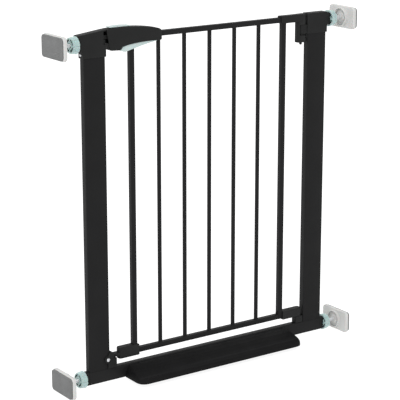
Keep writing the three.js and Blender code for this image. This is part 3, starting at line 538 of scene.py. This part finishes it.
def steel_frame():
    rail = tube_loops(POST_DEPTH, RAIL_HEIGHT, 2.5, 0, RAIL_HEIGHT / 2)
    tube = plate(rail, "yz", -FRAME_HALF, FRAME_HALF)
    holes = [rod("y", 4.6, -12, 12, (x, 0, RAIL_HEIGHT / 2), 20) for x in RAMP_SCREWS]
    piece("rail_tube", cut(tube, *holes), "frame", STEEL, "threshold_rail")
    welds = []
    for side, node in ((-1, "post_left"), (1, "post_right")):
        loops = tube_loops(POST_WIDTH, POST_DEPTH, POST_CORNER, side * POST_MIDDLE, 0)
        piece(f"{node}_tube", plate(loops, "xy", RAIL_HEIGHT, POST_TOP), "frame", STEEL, node)
        width, depth = POST_WIDTH - 1.5, POST_DEPTH - 1.5
        path = rect_path(width, depth, 1.8, side * POST_MIDDLE, 0, RAIL_HEIGHT + 0.2)
        welds.append(weld_ring(path, 1.0))
    piece("frame_welds", combined(welds), "frame", STEEL)


def steel_leaf():
    half = TUBE / 2
    for left, node in ((LEAF_LEFT, "stile_left"), (LEAF_RIGHT - TUBE, "stile_right")):
        loops = tube_loops(TUBE, TUBE, TUBE_CORNER, left + half, 0)
        piece(f"{node}_tube", plate(loops, "xy", LEAF_LOW, LEAF_TOP), "gate", STEEL, node)
    for low, node in ((LEAF_LOW, "leaf_bottom_rail"), (LEAF_TOP - TUBE, "leaf_top_rail")):
        loops = tube_loops(TUBE, TUBE, TUBE_CORNER, 0, low + half)
        mesh = plate(loops, "yz", LEAF_LEFT + TUBE, LEAF_RIGHT - TUBE)
        piece(f"{node}_tube", mesh, "gate", STEEL, node)
    low, high = LEAF_LOW + TUBE, LEAF_TOP - TUBE
    welds = []
    for number, x in enumerate(BARS, 1):
        loops = [circle(BAR_DIAMETER / 2, x, 0), circle(BAR_DIAMETER / 2 - BAR_WALL, x, 0)]
        piece(f"bar_{number}_tube", plate(loops, "xy", low, high), "gate", STEEL, f"bar_{number}")
        for z in (low + 0.1, high - 0.1):
            ring = [(a, b, z) for a, b in circle(BAR_DIAMETER / 2 - 0.3, x, 0, 28)]
            welds.append(weld_ring(ring, 0.7))
    for x in (LEAF_LEFT + TUBE, LEAF_RIGHT - TUBE):
        inward = 0.1 if x < 0 else -0.1
        for z in (LEAF_LOW + half, LEAF_TOP - half):
            outline = rounded_rect(TUBE - 0.8, TUBE - 0.8, 1.4, 0, z, 3)
            welds.append(weld_ring([(x + inward, a, b) for a, b in outline], 0.6))
    piece("leaf_welds", combined(welds), "gate", STEEL)


# ---------------------------------------------------------------- post caps

LEFT_CAP_TOP, LEFT_BOSS_TOP = 754.2, 746.6
RIGHT_CAP_TOP, RIGHT_BOSS_TOP = 744.4, 740.5
RIGHT_CAP_BREAK = 311.0           # where the right cap's top starts to fall away
BOSS_LOW = 715.4
CAP_BORE_INSET = 5.5
CAP_SCREW_BORE, CAP_SCREW_Z = 3.6, 706.0
SLOT_DEPTH, SLOT_LOW, SLOT_HIGH = 6.5, 733.2, 751.0
NOTCH_DEPTH, NOTCH_LOW, NOTCH_HIGH = 4.0, 724.0, 734.0
APRON_LEFT, APRON_LOW, APRON_HALF_DEPTH = 257.8, 690.0, 7.0


def cap_body(outline, side, boss_length):
    body = plate([outline], "xz", -CAP_HALF_DEPTH, CAP_HALF_DEPTH, 1.4, 4)
    pocket = plate(
        [rounded_rect(POST_WIDTH + RUNNING, POST_DEPTH + RUNNING, POST_CORNER, side * POST_MIDDLE, 0)],
        "xy", CAP_LOW - 1, POST_TOP + FIT,
    )
    ends = sorted((side * (POST_INNER + CAP_BORE_INSET), side * (FRAME_HALF + boss_length + 1)))
    bore = rod("x", SPINDLE_BORE, *ends, (0, 0, SPINDLE_HIGH))
    screw = sorted((side * (FRAME_HALF - 1), side * (CAP_OUTER + 1)))
    hole = rod("x", CAP_SCREW_BORE, *screw, (0, 0, CAP_SCREW_Z), 20)
    return cut(body, pocket, bore, hole)


def latch_cap():
    """The left cap, with the bolt's slot and a notch below it in each face."""
    boss_end = FRAME_HALF + LATCH_BOSS_LENGTH
    left = (
        Outline(-CAP_OUTER, CAP_LOW)
        .line(-CAP_INNER, CAP_LOW)
        .line(-CAP_INNER, LEFT_CAP_TOP)
        .line(3 - boss_end, LEFT_BOSS_TOP)
        .quad(-boss_end, LEFT_BOSS_TOP, -boss_end, LEFT_BOSS_TOP - 3, 6)
        .line(-boss_end, BOSS_LOW + 3)
        .quad(-boss_end, BOSS_LOW, 3 - boss_end, BOSS_LOW, 6)
        .line(-CAP_OUTER, BOSS_LOW - 1.5)
        .closed()
    )
    slot_left, slot_right = -CAP_INNER - SLOT_DEPTH, -CAP_INNER + 1
    face = CAP_HALF_DEPTH + 2
    notch_floor = CAP_HALF_DEPTH - NOTCH_DEPTH
    left_cap = cut(
        cap_body(left, -1, LATCH_BOSS_LENGTH),
        block(slot_left, slot_right, -face, face, SLOT_LOW, SLOT_HIGH),
        block(slot_left, slot_right, -face, -notch_floor, NOTCH_LOW, NOTCH_HIGH),
        block(slot_left, slot_right, notch_floor, face, NOTCH_LOW, NOTCH_HIGH),
    )
    piece("cap_left", left_cap, "frame", BLACK, "post_cap_left")


def hinge_cap():
    """The right cap, with the lug that the upper hinge pin passes through."""
    boss_end = FRAME_HALF + BOSS_LENGTH
    right = (
        Outline(CAP_OUTER, CAP_LOW)
        .line(CAP_OUTER, BOSS_LOW - 1.5)
        .line(boss_end - 3, BOSS_LOW)
        .quad(boss_end, BOSS_LOW, boss_end, BOSS_LOW + 3, 6)
        .line(boss_end, RIGHT_BOSS_TOP - 3)
        .quad(boss_end, RIGHT_BOSS_TOP, boss_end - 3, RIGHT_BOSS_TOP + 0.7, 6)
        .line(RIGHT_CAP_BREAK, RIGHT_CAP_TOP)
        .line(CAP_INNER, RIGHT_CAP_TOP)
        .line(CAP_INNER, CAP_LOW)
        .closed()
    )
    lug_outline = (
        Outline(CAP_INNER + 1, -LUG_RADIUS)
        .line(CAP_INNER + 1, LUG_RADIUS)
        .line(HINGE_X, LUG_RADIUS)
        .arc(HINGE_X, 0, LUG_RADIUS, 90, 270, 18)
        .closed()
    )
    lug = plate([lug_outline], "xy", LUG_LOW, LUG_HIGH, 0.6, 2)
    pin = rod("z", PIN_BORE, LUG_LOW - 1, LUG_HIGH + 1, (HINGE_X, 0, 0))
    seat_top = LUG_LOW + LIFT + FIT
    seat = rod("z", 2 * BEARING_RADIUS + RUNNING, LUG_LOW - 1, seat_top, (HINGE_X, 0, 0))
    half = APRON_HALF_DEPTH
    apron = block(APRON_LEFT, CAP_INNER + 1, -half, half, APRON_LOW, LUG_LOW + 1)
    right_cap = cut(join(cap_body(right, 1, BOSS_LENGTH), lug, apron), pin, seat)
    piece("cap_right", right_cap, "frame", BLACK, "post_cap_right")


# ---------------------------------------------------------------- threshold ramp

RAMP_LEFT, RAMP_RIGHT = -222.0, 214.0
RAMP_FRONT, RAMP_BACK = -71.0, -8.3
RAMP_TOP, RAMP_LIP = 26.5, 3.5
RAMP_LEAN = 11.0
RAMP_CORNER = 22.0
RAMP_SKIN = 2.6
RIB_HALF = 3.5


def ramp_plan(inset, steps=12):
    left, right = RAMP_LEFT + inset, RAMP_RIGHT - inset
    return (
        Outline(right, RAMP_BACK)
        .line(left, RAMP_BACK)
        .line(left, RAMP_FRONT + RAMP_CORNER)
        .quad(left, RAMP_FRONT, left + RAMP_CORNER, RAMP_FRONT, steps)
        .line(right - RAMP_CORNER, RAMP_FRONT)
        .quad(right, RAMP_FRONT, right, RAMP_FRONT + RAMP_CORNER, steps)
        .closed()
    )


def ramp_slope(drop, front, x0, x1):
    side = (
        Outline(RAMP_BACK, -1)
        .line(RAMP_BACK, RAMP_TOP - drop)
        .quad(-30, RAMP_TOP - 2 - drop, front, RAMP_LIP - drop, 20)
        .line(front, -1)
        .closed()
    )
    return plate([side], "yz", x0, x1)


def threshold_ramp():
    rings = []
    for i in range(9):
        t = i / 8
        z = t * (RAMP_TOP + 2)
        rings.append([(x, y, z) for x, y in ramp_plan(RAMP_LEAN * t * t)])
    tread = common(grid_mesh(rings), ramp_slope(0, RAMP_FRONT - 1, RAMP_LEFT - 1, RAMP_RIGHT + 1))
    tread = softened(tread, 1.2, 3, 24)
    edge = RAMP_LEAN + RAMP_SKIN + RAMP_CORNER
    walls = [RAMP_LEFT + edge, *RAMP_SCREWS, RAMP_RIGHT - edge]
    pockets = []
    for near, far in zip(walls, walls[1:]):
        hollow = ramp_slope(RAMP_SKIN, RAMP_FRONT + 8, near + RIB_HALF, far - RIB_HALF)
        room = block(near, far, RAMP_FRONT, RAMP_BACK - RAMP_SKIN, -2, RAMP_TOP)
        pockets.append(common(hollow, room))
    piece("ramp_tread", cut(tread, *pockets), "frame", RAMP, "threshold_ramp")


# ---------------------------------------------------------------- lower fittings

RIVET_X, RIVET_Z, RIVET_BORE = -266.5, 49.0, 4.6
CATCH_HALF_DEPTH = 11.0
CATCH_RIGHT, MOUTH_LEFT, CATCH_SHELF = -245.0, -252.0, 50.0
HINGE_FOOT_LEFT, HINGE_FOOT_TOP = 239.5, 44.2


def catch_fork():
    """The catch straddles the left post's foot and is riveted through it."""
    half = CATCH_HALF_DEPTH
    body = (
        Outline(RIVET_X, RAIL_HEIGHT + FIT)
        .line(CATCH_RIGHT, RAIL_HEIGHT + FIT)
        .line(CATCH_RIGHT, 58)
        .line(-POST_INNER + 3, 66)
        .quad(-POST_INNER - 2, 67, RIVET_X, 57)
        .closed()
    )
    fork = join(
        plate([body], "xz", -half, half, 1.0, 3),
        plate([circle(8, RIVET_X, RIVET_Z)], "xz", -half, half, 1.0, 3),
    )
    post_half = POST_DEPTH / 2 + FIT
    fork = cut(
        fork,
        block(-POST_INNER - 30, -POST_INNER + FIT, -post_half, post_half, 0, 90),
        block(MOUTH_LEFT, CATCH_RIGHT + 1, -half - 1, half + 1, CATCH_SHELF, 90),
        rod("y", RIVET_BORE, -20, 20, (RIVET_X, 0, RIVET_Z)),
    )
    piece("catch_fork", fork, "frame", BLACK, "latch_catch")
    face = half + FIT
    dome = [(0.02, 2.0), (1.2, 1.95), (2.4, 1.6), (3.4, 1.0), (4.0, 0.3), (4.0, 0.0)]
    rivet = [(r, -face - s) for r, s in dome] + [(2, -face), (2, face)]
    rivet += [(r, face + s) for r, s in reversed(dome)]
    pin = turned(rivet, "y", (RIVET_X, 0, RIVET_Z), 40)
    piece("catch_pin", pin, "frame", ZINC, "catch_rivet")


def rail_fittings():
    """The hinge foot on the rail and the plugs in the rail's ends."""
    foot_width = POST_INNER - FIT - HINGE_FOOT_LEFT
    foot = plate(
        [rounded_rect(foot_width, BLOCK_DEPTH, 3, HINGE_FOOT_LEFT + foot_width / 2, 0)],
        "xy", RAIL_HEIGHT + FIT, HINGE_FOOT_TOP, 0.6, 2,
    )
    foot = cut(foot, rod("z", PIN_BORE, RAIL_HEIGHT, HINGE_FOOT_TOP + 1.8, (HINGE_X, 0, 0)))
    piece("hinge_foot_block", foot, "frame", BLACK, "hinge_foot")
    for side, label in ((-1, "left"), (1, "right")):
        flange = plate([rounded_rect(POST_DEPTH, RAIL_HEIGHT, 2.5)], "yz", FIT, PLUG_LENGTH, 1.0, 3)
        insert = plate([rounded_rect(13, 26, 1.2)], "yz", -24, 2)
        plug = cut(join(flange, insert), rod("x", SPINDLE_BORE, -25, 12, (0, 0, 0)))
        plug.transform(side_matrix(side, RAIL_HEIGHT / 2))
        piece(f"end_plug_{label}", plug, "frame", BLACK, f"rail_plug_{label}")


# ---------------------------------------------------------------- hinge arms and latch shoe

SLEEVE_LEFT, SLEEVE_TOP = 188.0, LEAF_TOP + 3.5
KNUCKLE_LEFT, KNUCKLE_RIGHT, KNUCKLE_LOW = HINGE_X - 12.3, HINGE_X + 9.5, 681.0
PIN_HEAD_BORE = 9.6
LOWER_ARM_LOW, LOWER_ARM_TOP = 44.5, 65.0
LOWER_PIN_TOP = 58.0
HINGE_SCREW_BORE, HINGE_SCREW_Z = 4.6, 62.9


def upper_arm():
    low, high = LEAF_TOP - TUBE - 2, SLEEVE_TOP
    section = rounded_rect(BLOCK_DEPTH, high - low, 2.5, 0, (low + high) / 2)
    sleeve = plate([section], "yz", SLEEVE_LEFT, HINGE_X, 0.7, 2)
    middle = (KNUCKLE_LEFT + KNUCKLE_RIGHT) / 2
    plan = rounded_rect(KNUCKLE_RIGHT - KNUCKLE_LEFT, BLOCK_DEPTH, 4.5, middle, 0)
    knuckle = plate([plan], "xy", KNUCKLE_LOW, high, 0.8, 3)
    room = TUBE / 2 + FIT
    fork_left, fork_low = HINGE_X - LUG_RADIUS - 0.5, LUG_LOW - LIFT - RUNNING
    forked = cut(
        join(sleeve, knuckle),
        block(SLEEVE_LEFT - 1, LEAF_RIGHT + FIT, -room, room, LEAF_TOP - TUBE - FIT, LEAF_TOP + FIT),
        block(LEAF_RIGHT - TUBE - FIT, LEAF_RIGHT + FIT, -room, room, low - 1, LEAF_TOP),
        block(fork_left, HINGE_X + 19, -16, 16, fork_low, LUG_HIGH + FIT),
    )
    bearing = rod("z", 2 * BEARING_RADIUS, fork_low - 1, LUG_LOW - FIT, (HINGE_X, 0, 0))
    arm = cut(
        join(forked, bearing),
        rod("z", PIN_BORE, KNUCKLE_LOW - 1, high + 1, (HINGE_X, 0, 0)),
        rod("z", PIN_HEAD_BORE, SLEEVE_TOP - 4, high + 1, (HINGE_X, 0, 0)),
    )
    piece("hinge_sleeve", arm, "gate", BLACK, "upper_hinge_arm")


def lower_arm():
    left, right = LEAF_RIGHT + FIT, KNUCKLE_RIGHT
    half = BLOCK_DEPTH / 2
    outline = (
        Outline(left, -half)
        .line(right - 6, -half)
        .quad(right, -half, right, 6 - half)
        .line(right, half - 6)
        .quad(right, half, right - 6, half)
        .line(left, half)
        .closed()
    )
    arm = cut(
        plate([outline], "xy", LOWER_ARM_LOW, LOWER_ARM_TOP, 1.4, 4),
        rod("z", PIN_BORE, LOWER_ARM_LOW - 1.5, LOWER_PIN_TOP + FIT, (HINGE_X, 0, 0)),
        rod("x", HINGE_SCREW_BORE, left - 1, left + 22, (0, 0, HINGE_SCREW_Z), 20),
    )
    piece("hinge_arm_block", arm, "gate", BLACK, "lower_hinge_arm")


SHOE_LEFT, SHOE_RIGHT = -237.0, -186.5
SHOE_LOW, SHOE_TOP = 43.5, 68.5
TONGUE_LOW, TONGUE_HIGH = 51.0, 58.0


def latch_shoe():
    """The shoe covers the leaf's lower corner; its tongue passes over the catch's ledge."""
    half, corner = BLOCK_DEPTH / 2, 6
    outline = (
        Outline(SHOE_RIGHT, -half)
        .line(SHOE_RIGHT, half)
        .line(SHOE_LEFT + corner, half)
        .arc(SHOE_LEFT + corner, half - corner, corner, 90, 180, 8)
        .arc(SHOE_LEFT + corner, corner - half, corner, 180, 270, 8)
        .closed()
    )
    room = TUBE / 2 + FIT
    inner = LEAF_LEFT + TUBE + FIT
    low = LEAF_LOW - FIT
    tongue = plate([rounded_rect(20, 14, 1.5, -241, 0)], "xy", TONGUE_LOW, TONGUE_HIGH, 1.0, 2)
    shoe = cut(
        join(plate([outline], "xy", SHOE_LOW, SHOE_TOP, 1.5, 4), tongue),
        block(LEAF_LEFT - FIT, inner, -room, room, low, SHOE_TOP + 1.5),
        block(inner - 1, SHOE_RIGHT + 1, -room, room, low, LEAF_LOW + TUBE + FIT),
    )
    piece("shoe", shoe, "gate", BLACK, "latch_shoe")


def hinge_pins():
    head_low, head_high = SLEEVE_TOP - 3.7, SLEEVE_TOP - 1
    upper = [
        (2.2, 675.5), (3, 676.5), (3, head_low), (4.5, head_low), (4.5, head_high - 0.6),
        (3.9, head_high),
    ]
    lower = [(2.2, 31), (3, 32), (3, LOWER_PIN_TOP - 0.8), (2.4, LOWER_PIN_TOP)]
    for name, profile, node in (
        ("pin_upper", upper, "upper_hinge_pin"),
        ("pin_lower", lower, "lower_hinge_pin"),
    ):
        piece(name, turned(profile, "z", (HINGE_X, 0, 0), 40), "hinge_pins", STEEL, node)


# ---------------------------------------------------------------- handle

HANDLE_RIGHT = -125.0
HANDLE_WALL = 2.2
BOLT_LOW, BOLT_HIGH = 734.0, 742.0
BUTTON_Z = 756.4
STEM_LEFT, STEM_RIGHT, STEM_HALF_DEPTH = -231.0, -219.0, 3.0
BUTTON_TRAVEL = 8.0
SCREW_BORE, SCREW_HEAD_BORE = 3.6, 6.2
LEVER_HALF_DEPTH = 9.2


def handle_outline():
    return (
        Outline(-245.6, 709.6)
        .line(-228, 708.7)
        .quad(-223, 708.7, -220.5, 714.5)
        .cubic(-212, 717.6, -190, 721.2, -156, 721.8)
        .line(HANDLE_RIGHT - 3.3, 721.4)
        .quad(HANDLE_RIGHT, 721.4, HANDLE_RIGHT, 725)
        .line(HANDLE_RIGHT, 738)
        .quad(HANDLE_RIGHT, 745.5, HANDLE_RIGHT - 9.8, 747.2)
        .cubic(-155, 752, -190, 756, -232, 755.6)
        .line(-255, 754.4)
        .quad(-258.4, 754.2, -258, 749.4)
        .line(-253.6, 727)
        .line(-251, 714)
        .quad(-250.2, 709.8, -245.6, 709.6)
        .closed()
    )


def inset(points, distance):
    """An outline drawn in by a distance; it runs anticlockwise."""
    moved = []
    for i, (a, b) in enumerate(points):
        before, after = points[i - 1], points[(i + 1) % len(points)]
        da, db = after[0] - before[0], after[1] - before[1]
        length = math.hypot(da, db)
        moved.append((a - db / length * distance, b + da / length * distance))
    return moved


def handle():
    outer = handle_outline()
    inner_half = HANDLE_HALF - HANDLE_WALL
    room = TUBE / 2 + FIT
    pivot_x = LEVER_PIVOT[0]
    stem = STEM_HALF_DEPTH + 0.4
    shell = plate([outer], "xz", -HANDLE_HALF, HANDLE_HALF, 3.0, 6)
    housing = cut(
        shell,
        plate([inset(outer, HANDLE_WALL)], "xz", -inner_half, inner_half),
        block(-229, pivot_x + 4, -inner_half, inner_half, 700, 725.6),
        block(-270, -240, -4.4, 4.4, BOLT_LOW - 0.4, BOLT_HIGH + 0.4),
        block(-262, -247, -inner_half, inner_half, 725, 751.4),
        block(-190, -110, -room, room, LEAF_TOP - TUBE - FIT, LEAF_TOP + FIT),
        block(STEM_LEFT - 0.4, STEM_RIGHT + BUTTON_TRAVEL + 0.4, -stem, stem, 752.4, 760),
        rod("z", BAR_DIAMETER + RUNNING, 715, 729, (BARS[0], 0, 0)),
        *[rod("y", SCREW_BORE, 4, HANDLE_HALF + 1, (x, 0, z), 20) for x, z in HANDLE_SCREWS],
        *[rod("y", SCREW_HEAD_BORE, HANDLE_HALF - 2, HANDLE_HALF + 1, (x, 0, z), 28)
          for x, z in HANDLE_SCREWS],
    )
    for side, label in ((-1, "front"), (1, "rear")):
        ends = sorted((side * 0.12, side * 30))
        half = common(housing.copy(), block(-300, -80, *ends, 690, 780))
        piece(f"housing_{label}", half, "gate", BLACK, f"handle_{label}")


def slide_button():
    cap = (
        Outline(-249, BUTTON_Z)
        .line(-200.5, BUTTON_Z)
        .quad(-198.4, 756.8, -200.6, 758, 4)
        .quad(-224, 760.2, -248.6, 758.1, 16)
        .quad(-251.4, 757.6, -249, BUTTON_Z, 4)
        .closed()
    )
    button = join(
        plate([cap], "xz", -7.5, 7.5, 0.5, 3),
        block(STEM_LEFT, STEM_RIGHT, -STEM_HALF_DEPTH, STEM_HALF_DEPTH, 748, BUTTON_Z + 1),
        block(-240, -213.2, -6, 6, 748, 751.4),
        block(-230.6, -228.8, -3, 3, 745.4, 749),
    )
    piece("thumb_slide", button, "slide_button", AQUA, "slide_button")


def release_lever():
    grip = (
        Outline(-225, 712)
        .quad(-220, 704.4, -212.6, 704.2)
        .cubic(-195, 708.6, -165, 716.4, -136, 720.6)
        .line(-135.2, 724)
        .line(-136.6, 728)
        .line(-140.6, 728)
        .line(-144, 724.2)
        .line(-180, 722.6)
        .line(-222, 718.4)
        .closed()
    )
    cam = [(-243, 713), (-220, 713), (-220, 719), (-226, 720.3), (-232.7, 727), (-243, 727)]
    lever = cut(
        join(
            plate([grip], "xz", -LEVER_HALF_DEPTH, LEVER_HALF_DEPTH, 1.4, 4),
            plate([cam], "xz", -3, 3),
        ),
        block(-205, -186.4, -6.6, 6.6, 690, 740),
        rod("y", SCREW_BORE, -20, 20, (LEVER_PIVOT[0], 0, LEVER_PIVOT[1]), 24),
    )
    piece("grip_lever", lever, "release_lever", AQUA, "release_lever")


def helix(start, end, radius, turns, z, steps=20):
    points = []
    for i in range(turns * steps + 1):
        angle = 2 * math.pi * i / steps
        x = start + (end - start) * i / (turns * steps)
        points.append((x, radius * math.cos(angle), z + radius * math.sin(angle)))
    return points


SPRING_WIRE_RADIUS = 0.45
SPRING_COILS = 7


def latch_springs():
    latch = swept(helix(-225.2, -201.6, 2.9, SPRING_COILS, 738), SPRING_WIRE_RADIUS)
    spring = piece("bolt_coil", latch, "gate", ZINC, "latch_spring")
    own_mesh(spring)
    push = swept(helix(-212.4, -192.3, 2, SPRING_COILS, 749.8), SPRING_WIRE_RADIUS)
    spring = piece("slide_coil", push, "gate", ZINC, "button_spring")
    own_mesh(spring)


# ---------------------------------------------------------------- wall sets

THREAD_PITCH = 2.5
THREAD_DEPTH = 0.7
THREAD_STEPS = 6
ROD_RADIUS = 4.0
SPINDLE_INNER_END = -18.5
WHEEL_RADIUS, WHEEL_WIDTH = 18.5, 14.0
WHEEL_GRIPS, WHEEL_SLOTS = 8, 4
SLOT_INNER, SLOT_OUTER, SLOT_SPREAD = 10.9, 14.8, 32
WHEEL_TAPER = 0.11                # how much narrower the wheel's outer face is


def threaded_rod(start, end):
    """A rod along X whose thread runs out at both ends."""
    rings = []
    sides = 28
    count = int((end - start) / THREAD_PITCH * THREAD_STEPS)
    for i in range(count + 1):
        x = start + (end - start) * i / count
        ends = min(1.0, (x - start) / 2, (end - x) / 2)
        ring = []
        for j in range(sides):
            angle = 2 * math.pi * j / sides
            phase = (x / THREAD_PITCH - j / sides) % 1.0
            crest = 1 - abs(2 * phase - 1)
            radius = ROD_RADIUS - THREAD_DEPTH * (1 - crest * max(ends, 0.0))
            ring.append((x, radius * math.cos(angle), radius * math.sin(angle)))
        rings.append(ring)
    return grid_mesh(rings)


def foot_mesh(reach):
    """The white foot on a spindle's end, which turns in the cup's recess."""
    seat = reach + RECESS_DEPTH - FIT
    profile = [
        (4.3, seat - 5.4), (5.1, seat - 4.8), (5.5, seat - 3), (10.2, seat - 2.4),
        (10.9, seat - 1.8), (11, seat - 1.2), (11, seat),
    ]
    bore = rod("x", 7.4, seat - 6, seat - 2, (0, 0, 0))
    return cut(turned(profile, "x", (0, 0, 0), 48), bore)


def wheel_mesh(boss_length):
    """A scalloped wheel with curved slots between its hub and its rim."""
    outline = []
    steps = WHEEL_GRIPS * 16
    for i in range(steps):
        angle = 2 * math.pi * i / steps
        dip = max(0.0, math.cos(WHEEL_GRIPS * angle)) ** 6
        radius = WHEEL_RADIUS - 1.3 * dip
        outline.append((radius * math.cos(angle), radius * math.sin(angle)))
    loops = [outline, circle(4.5)]
    for i in range(WHEEL_SLOTS):
        middle = 360 * (i + 0.5) / WHEEL_SLOTS
        low, high = middle - SLOT_SPREAD, middle + SLOT_SPREAD
        start = math.radians(low)
        slot = Outline(SLOT_OUTER * math.cos(start), SLOT_OUTER * math.sin(start))
        slot.arc(0, 0, SLOT_OUTER, low, high, 12).arc(0, 0, SLOT_INNER, high, low, 12)
        loops.append(slot.closed())
    near = boss_length + FIT
    mesh = plate(loops, "yz", near, near + WHEEL_WIDTH, 0.7, 3)
    for vertex in mesh.vertices:
        depth = (vertex.co.x / MM - near) / WHEEL_WIDTH
        radius = math.hypot(vertex.co.y, vertex.co.z) / MM
        if radius > 6:
            squeeze = 1 - WHEEL_TAPER * max(0.0, depth) ** 1.6
            vertex.co.y *= squeeze
            vertex.co.z *= squeeze
    return mesh


def paint_slot_shade(mesh, height):
    """Gives the walls of a wheel's slots a dark aqua that is painted shade, standing in for the shadow
    inside the slots.
    """
    mesh.materials.append(SLOT_PAINTED_SHADE)
    for face in mesh.polygons:
        radius = math.hypot(face.center.y / MM, face.center.z / MM - height)
        if abs(face.normal.x) < 0.5 and 9 < radius < 15.5:
            face.material_index = 1


def cup_mesh(reach):
    """A cup with a collar round its shallow recess."""
    rim = reach - COLLAR_LENGTH
    floor = reach + RECESS_DEPTH
    body = plate([rounded_rect(CUP_WIDTH, CUP_HEIGHT, 8.5)], "yz", reach, reach + CUP_DEPTH, 2.2, 5)
    collar = turned(
        [(0, rim), (20.2, rim), (20.8, rim + 0.3), (21, rim + 1), (21, reach - 0.6),
         (21.4, reach + 0.1), (21.4, reach + 2), (0, reach + 2)],
        "x", (0, 0, 0), 72,
    )
    recess = turned(
        [(0, rim - 1), (19.2, rim - 1), (19.2, rim), (18.7, rim + 0.7), (18.5, rim + 2),
         (18.2, floor - 0.4), (17.8, floor), (0, floor)],
        "x", (0, 0, 0), 72,
    )
    return cut(join(body, collar), recess)


PAD_RIBS = 15


def pad_mesh(reach):
    """A foam pad with fine ribs across its outer face."""
    start = reach + CUP_DEPTH + 0.05
    height = CUP_HEIGHT - 2 * PAD_INSET
    outer = start + PAD_DEPTH + 0.25
    pad = plate([rounded_rect(CUP_WIDTH - 2 * PAD_INSET, height, 7.5)], "yz", start, outer, 0.8, 3)
    pitch = height / PAD_RIBS
    groove = [
        plate([[(outer - 0.35, z), (outer + 1, z - 1.1), (outer + 1, z + 1.1)]], "xz", -60, 60)
        for z in [pitch * (i - (PAD_RIBS - 1) / 2) + pitch / 2 for i in range(PAD_RIBS - 1)]
    ]
    return cut(pad, *groove)


# Each wall set's name, side of the gate, height, boss under its wheel and reach of its spindle.
WALL_SETS = [
    ("upper_left", -1, SPINDLE_HIGH, LATCH_BOSS_LENGTH, 56.0),
    ("upper_right", 1, SPINDLE_HIGH, BOSS_LENGTH, 49.3),
    ("lower_left", -1, SPINDLE_LOW, PLUG_LENGTH, 52.0),
    ("lower_right", 1, SPINDLE_LOW, PLUG_LENGTH, 49.3),
]


def wall_sets():
    for spot, side, height, boss, reach in WALL_SETS:
        meshes = {
            "spindle": (threaded_rod(SPINDLE_INNER_END, reach + RECESS_DEPTH - 3), ZINC),
            "foot": (foot_mesh(reach), WHITE),
            "wheel": (wheel_mesh(boss), WHEEL),
            "wall_cup": (cup_mesh(reach), WHITE),
            "wall_pad": (pad_mesh(reach), PAD),
        }
        for kind, (mesh, material) in meshes.items():
            mesh.transform(side_matrix(side, height))
            body = f"wheel_{spot}" if kind == "wheel" else f"spindle_{spot}"
            nodes = [] if kind == "foot" else [f"{kind}_{spot}"]
            made = piece(f"{kind}_{spot}_part", mesh, body, material, *nodes)
            # The walls of each wheel's slots get the painted slot shade.
            if kind == "wheel":
                paint_slot_shade(made.data, height)


# ---------------------------------------------------------------- CAD pieces that stay

KEPT = {
    ZINC: [
        "cap_screw_left", "cap_screw_right", "ramp_screw_1", "ramp_screw_2", "ramp_screw_3",
        "handle_screw_1", "handle_screw_2", "handle_screw_3", "lever_pin",
    ],
    STEEL: ["lower_hinge_screw"],
    BLACK: ["latch_bolt"],
}


def kept_pieces():
    for material, names in KEPT.items():
        for name in names:
            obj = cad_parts[name]
            obj.data.materials.clear()
            obj.data.materials.append(material)
            finished(obj)
            edges = obj.modifiers.new("edges", "BEVEL")
            edges.width = 0.2 * MM
            edges.segments = 2
            edges.limit_method = "ANGLE"


# ---------------------------------------------------------------- stage

CAMERA_PLACE = (-1885.1, -2692.9, 1239.0)
CAMERA_TURN = (74.996, 0.0, -34.667)
CAMERA_LENS = 141.08
FLOOR_Z = -10.0


def area_light(name, place, target, size, power):
    data = bpy.data.lights.new(name, "AREA")
    data.shape = "DISK"
    data.size = size
    data.energy = power
    obj = link_object(name, data)
    obj.location = place
    obj.rotation_euler = (Vector(target) - Vector(place)).to_track_quat("-Z", "Y").to_euler()


def floor_material():
    look = Look("studio_floor")
    look.colour((0.26, 0.26, 0.26), (0.28, 0.28, 0.28), (0.28, 0.28, 0.28), 0.0, 0.8, 40.0)
    look.gloss(0.85, 0.95, 3.0)
    look.set(Emission_Color=(1.0, 1.0, 1.0, 1.0), Emission_Strength=0.9)
    return look.set(Specular_IOR_Level=0.1).material


def studio():
    size = 40.0
    mesh = bpy.data.meshes.new("floor")
    corners = [(-size, -size, 0), (size, -size, 0), (size, size, 0), (-size, size, 0)]
    mesh.from_pydata(corners, [], [(0, 1, 2, 3)])
    floor = link_object("floor", mesh)
    floor.location.z = FLOOR_Z * MM
    mesh.materials.append(floor_material())

    world = bpy.data.worlds.new("studio")
    world.use_nodes = True
    background = world.node_tree.nodes["Background"]
    background.inputs["Color"].default_value = (1.0, 1.0, 1.0, 1.0)
    background.inputs["Strength"].default_value = 1.0
    bpy.context.scene.world = world

    sun = bpy.data.lights.new("overhead", "SUN")
    sun.energy = 0.9
    sun.angle = math.radians(60)
    overhead = link_object("overhead", sun)
    overhead.rotation_euler = (math.radians(12), math.radians(-28), 0)
    area_light("key", (-2.6, -1.4, 2.0), (0, 0, 0.4), 1.6, 20)

    camera = bpy.data.cameras.new("camera")
    camera.sensor_width = 36.0
    camera.lens = CAMERA_LENS
    camera.clip_end = 200.0
    obj = link_object("camera", camera)
    obj.location = Vector(CAMERA_PLACE) * MM
    obj.rotation_euler = [math.radians(angle) for angle in CAMERA_TURN]
    bpy.context.scene.camera = obj
    bpy.context.scene.view_settings.view_transform = "Standard"


# ---------------------------------------------------------------- build

steel_frame()
steel_leaf()
latch_cap()
hinge_cap()
threshold_ramp()
catch_fork()
rail_fittings()
upper_arm()
lower_arm()
latch_shoe()
hinge_pins()
handle()
slide_button()
release_lever()
latch_springs()
wall_sets()
kept_pieces()
studio()
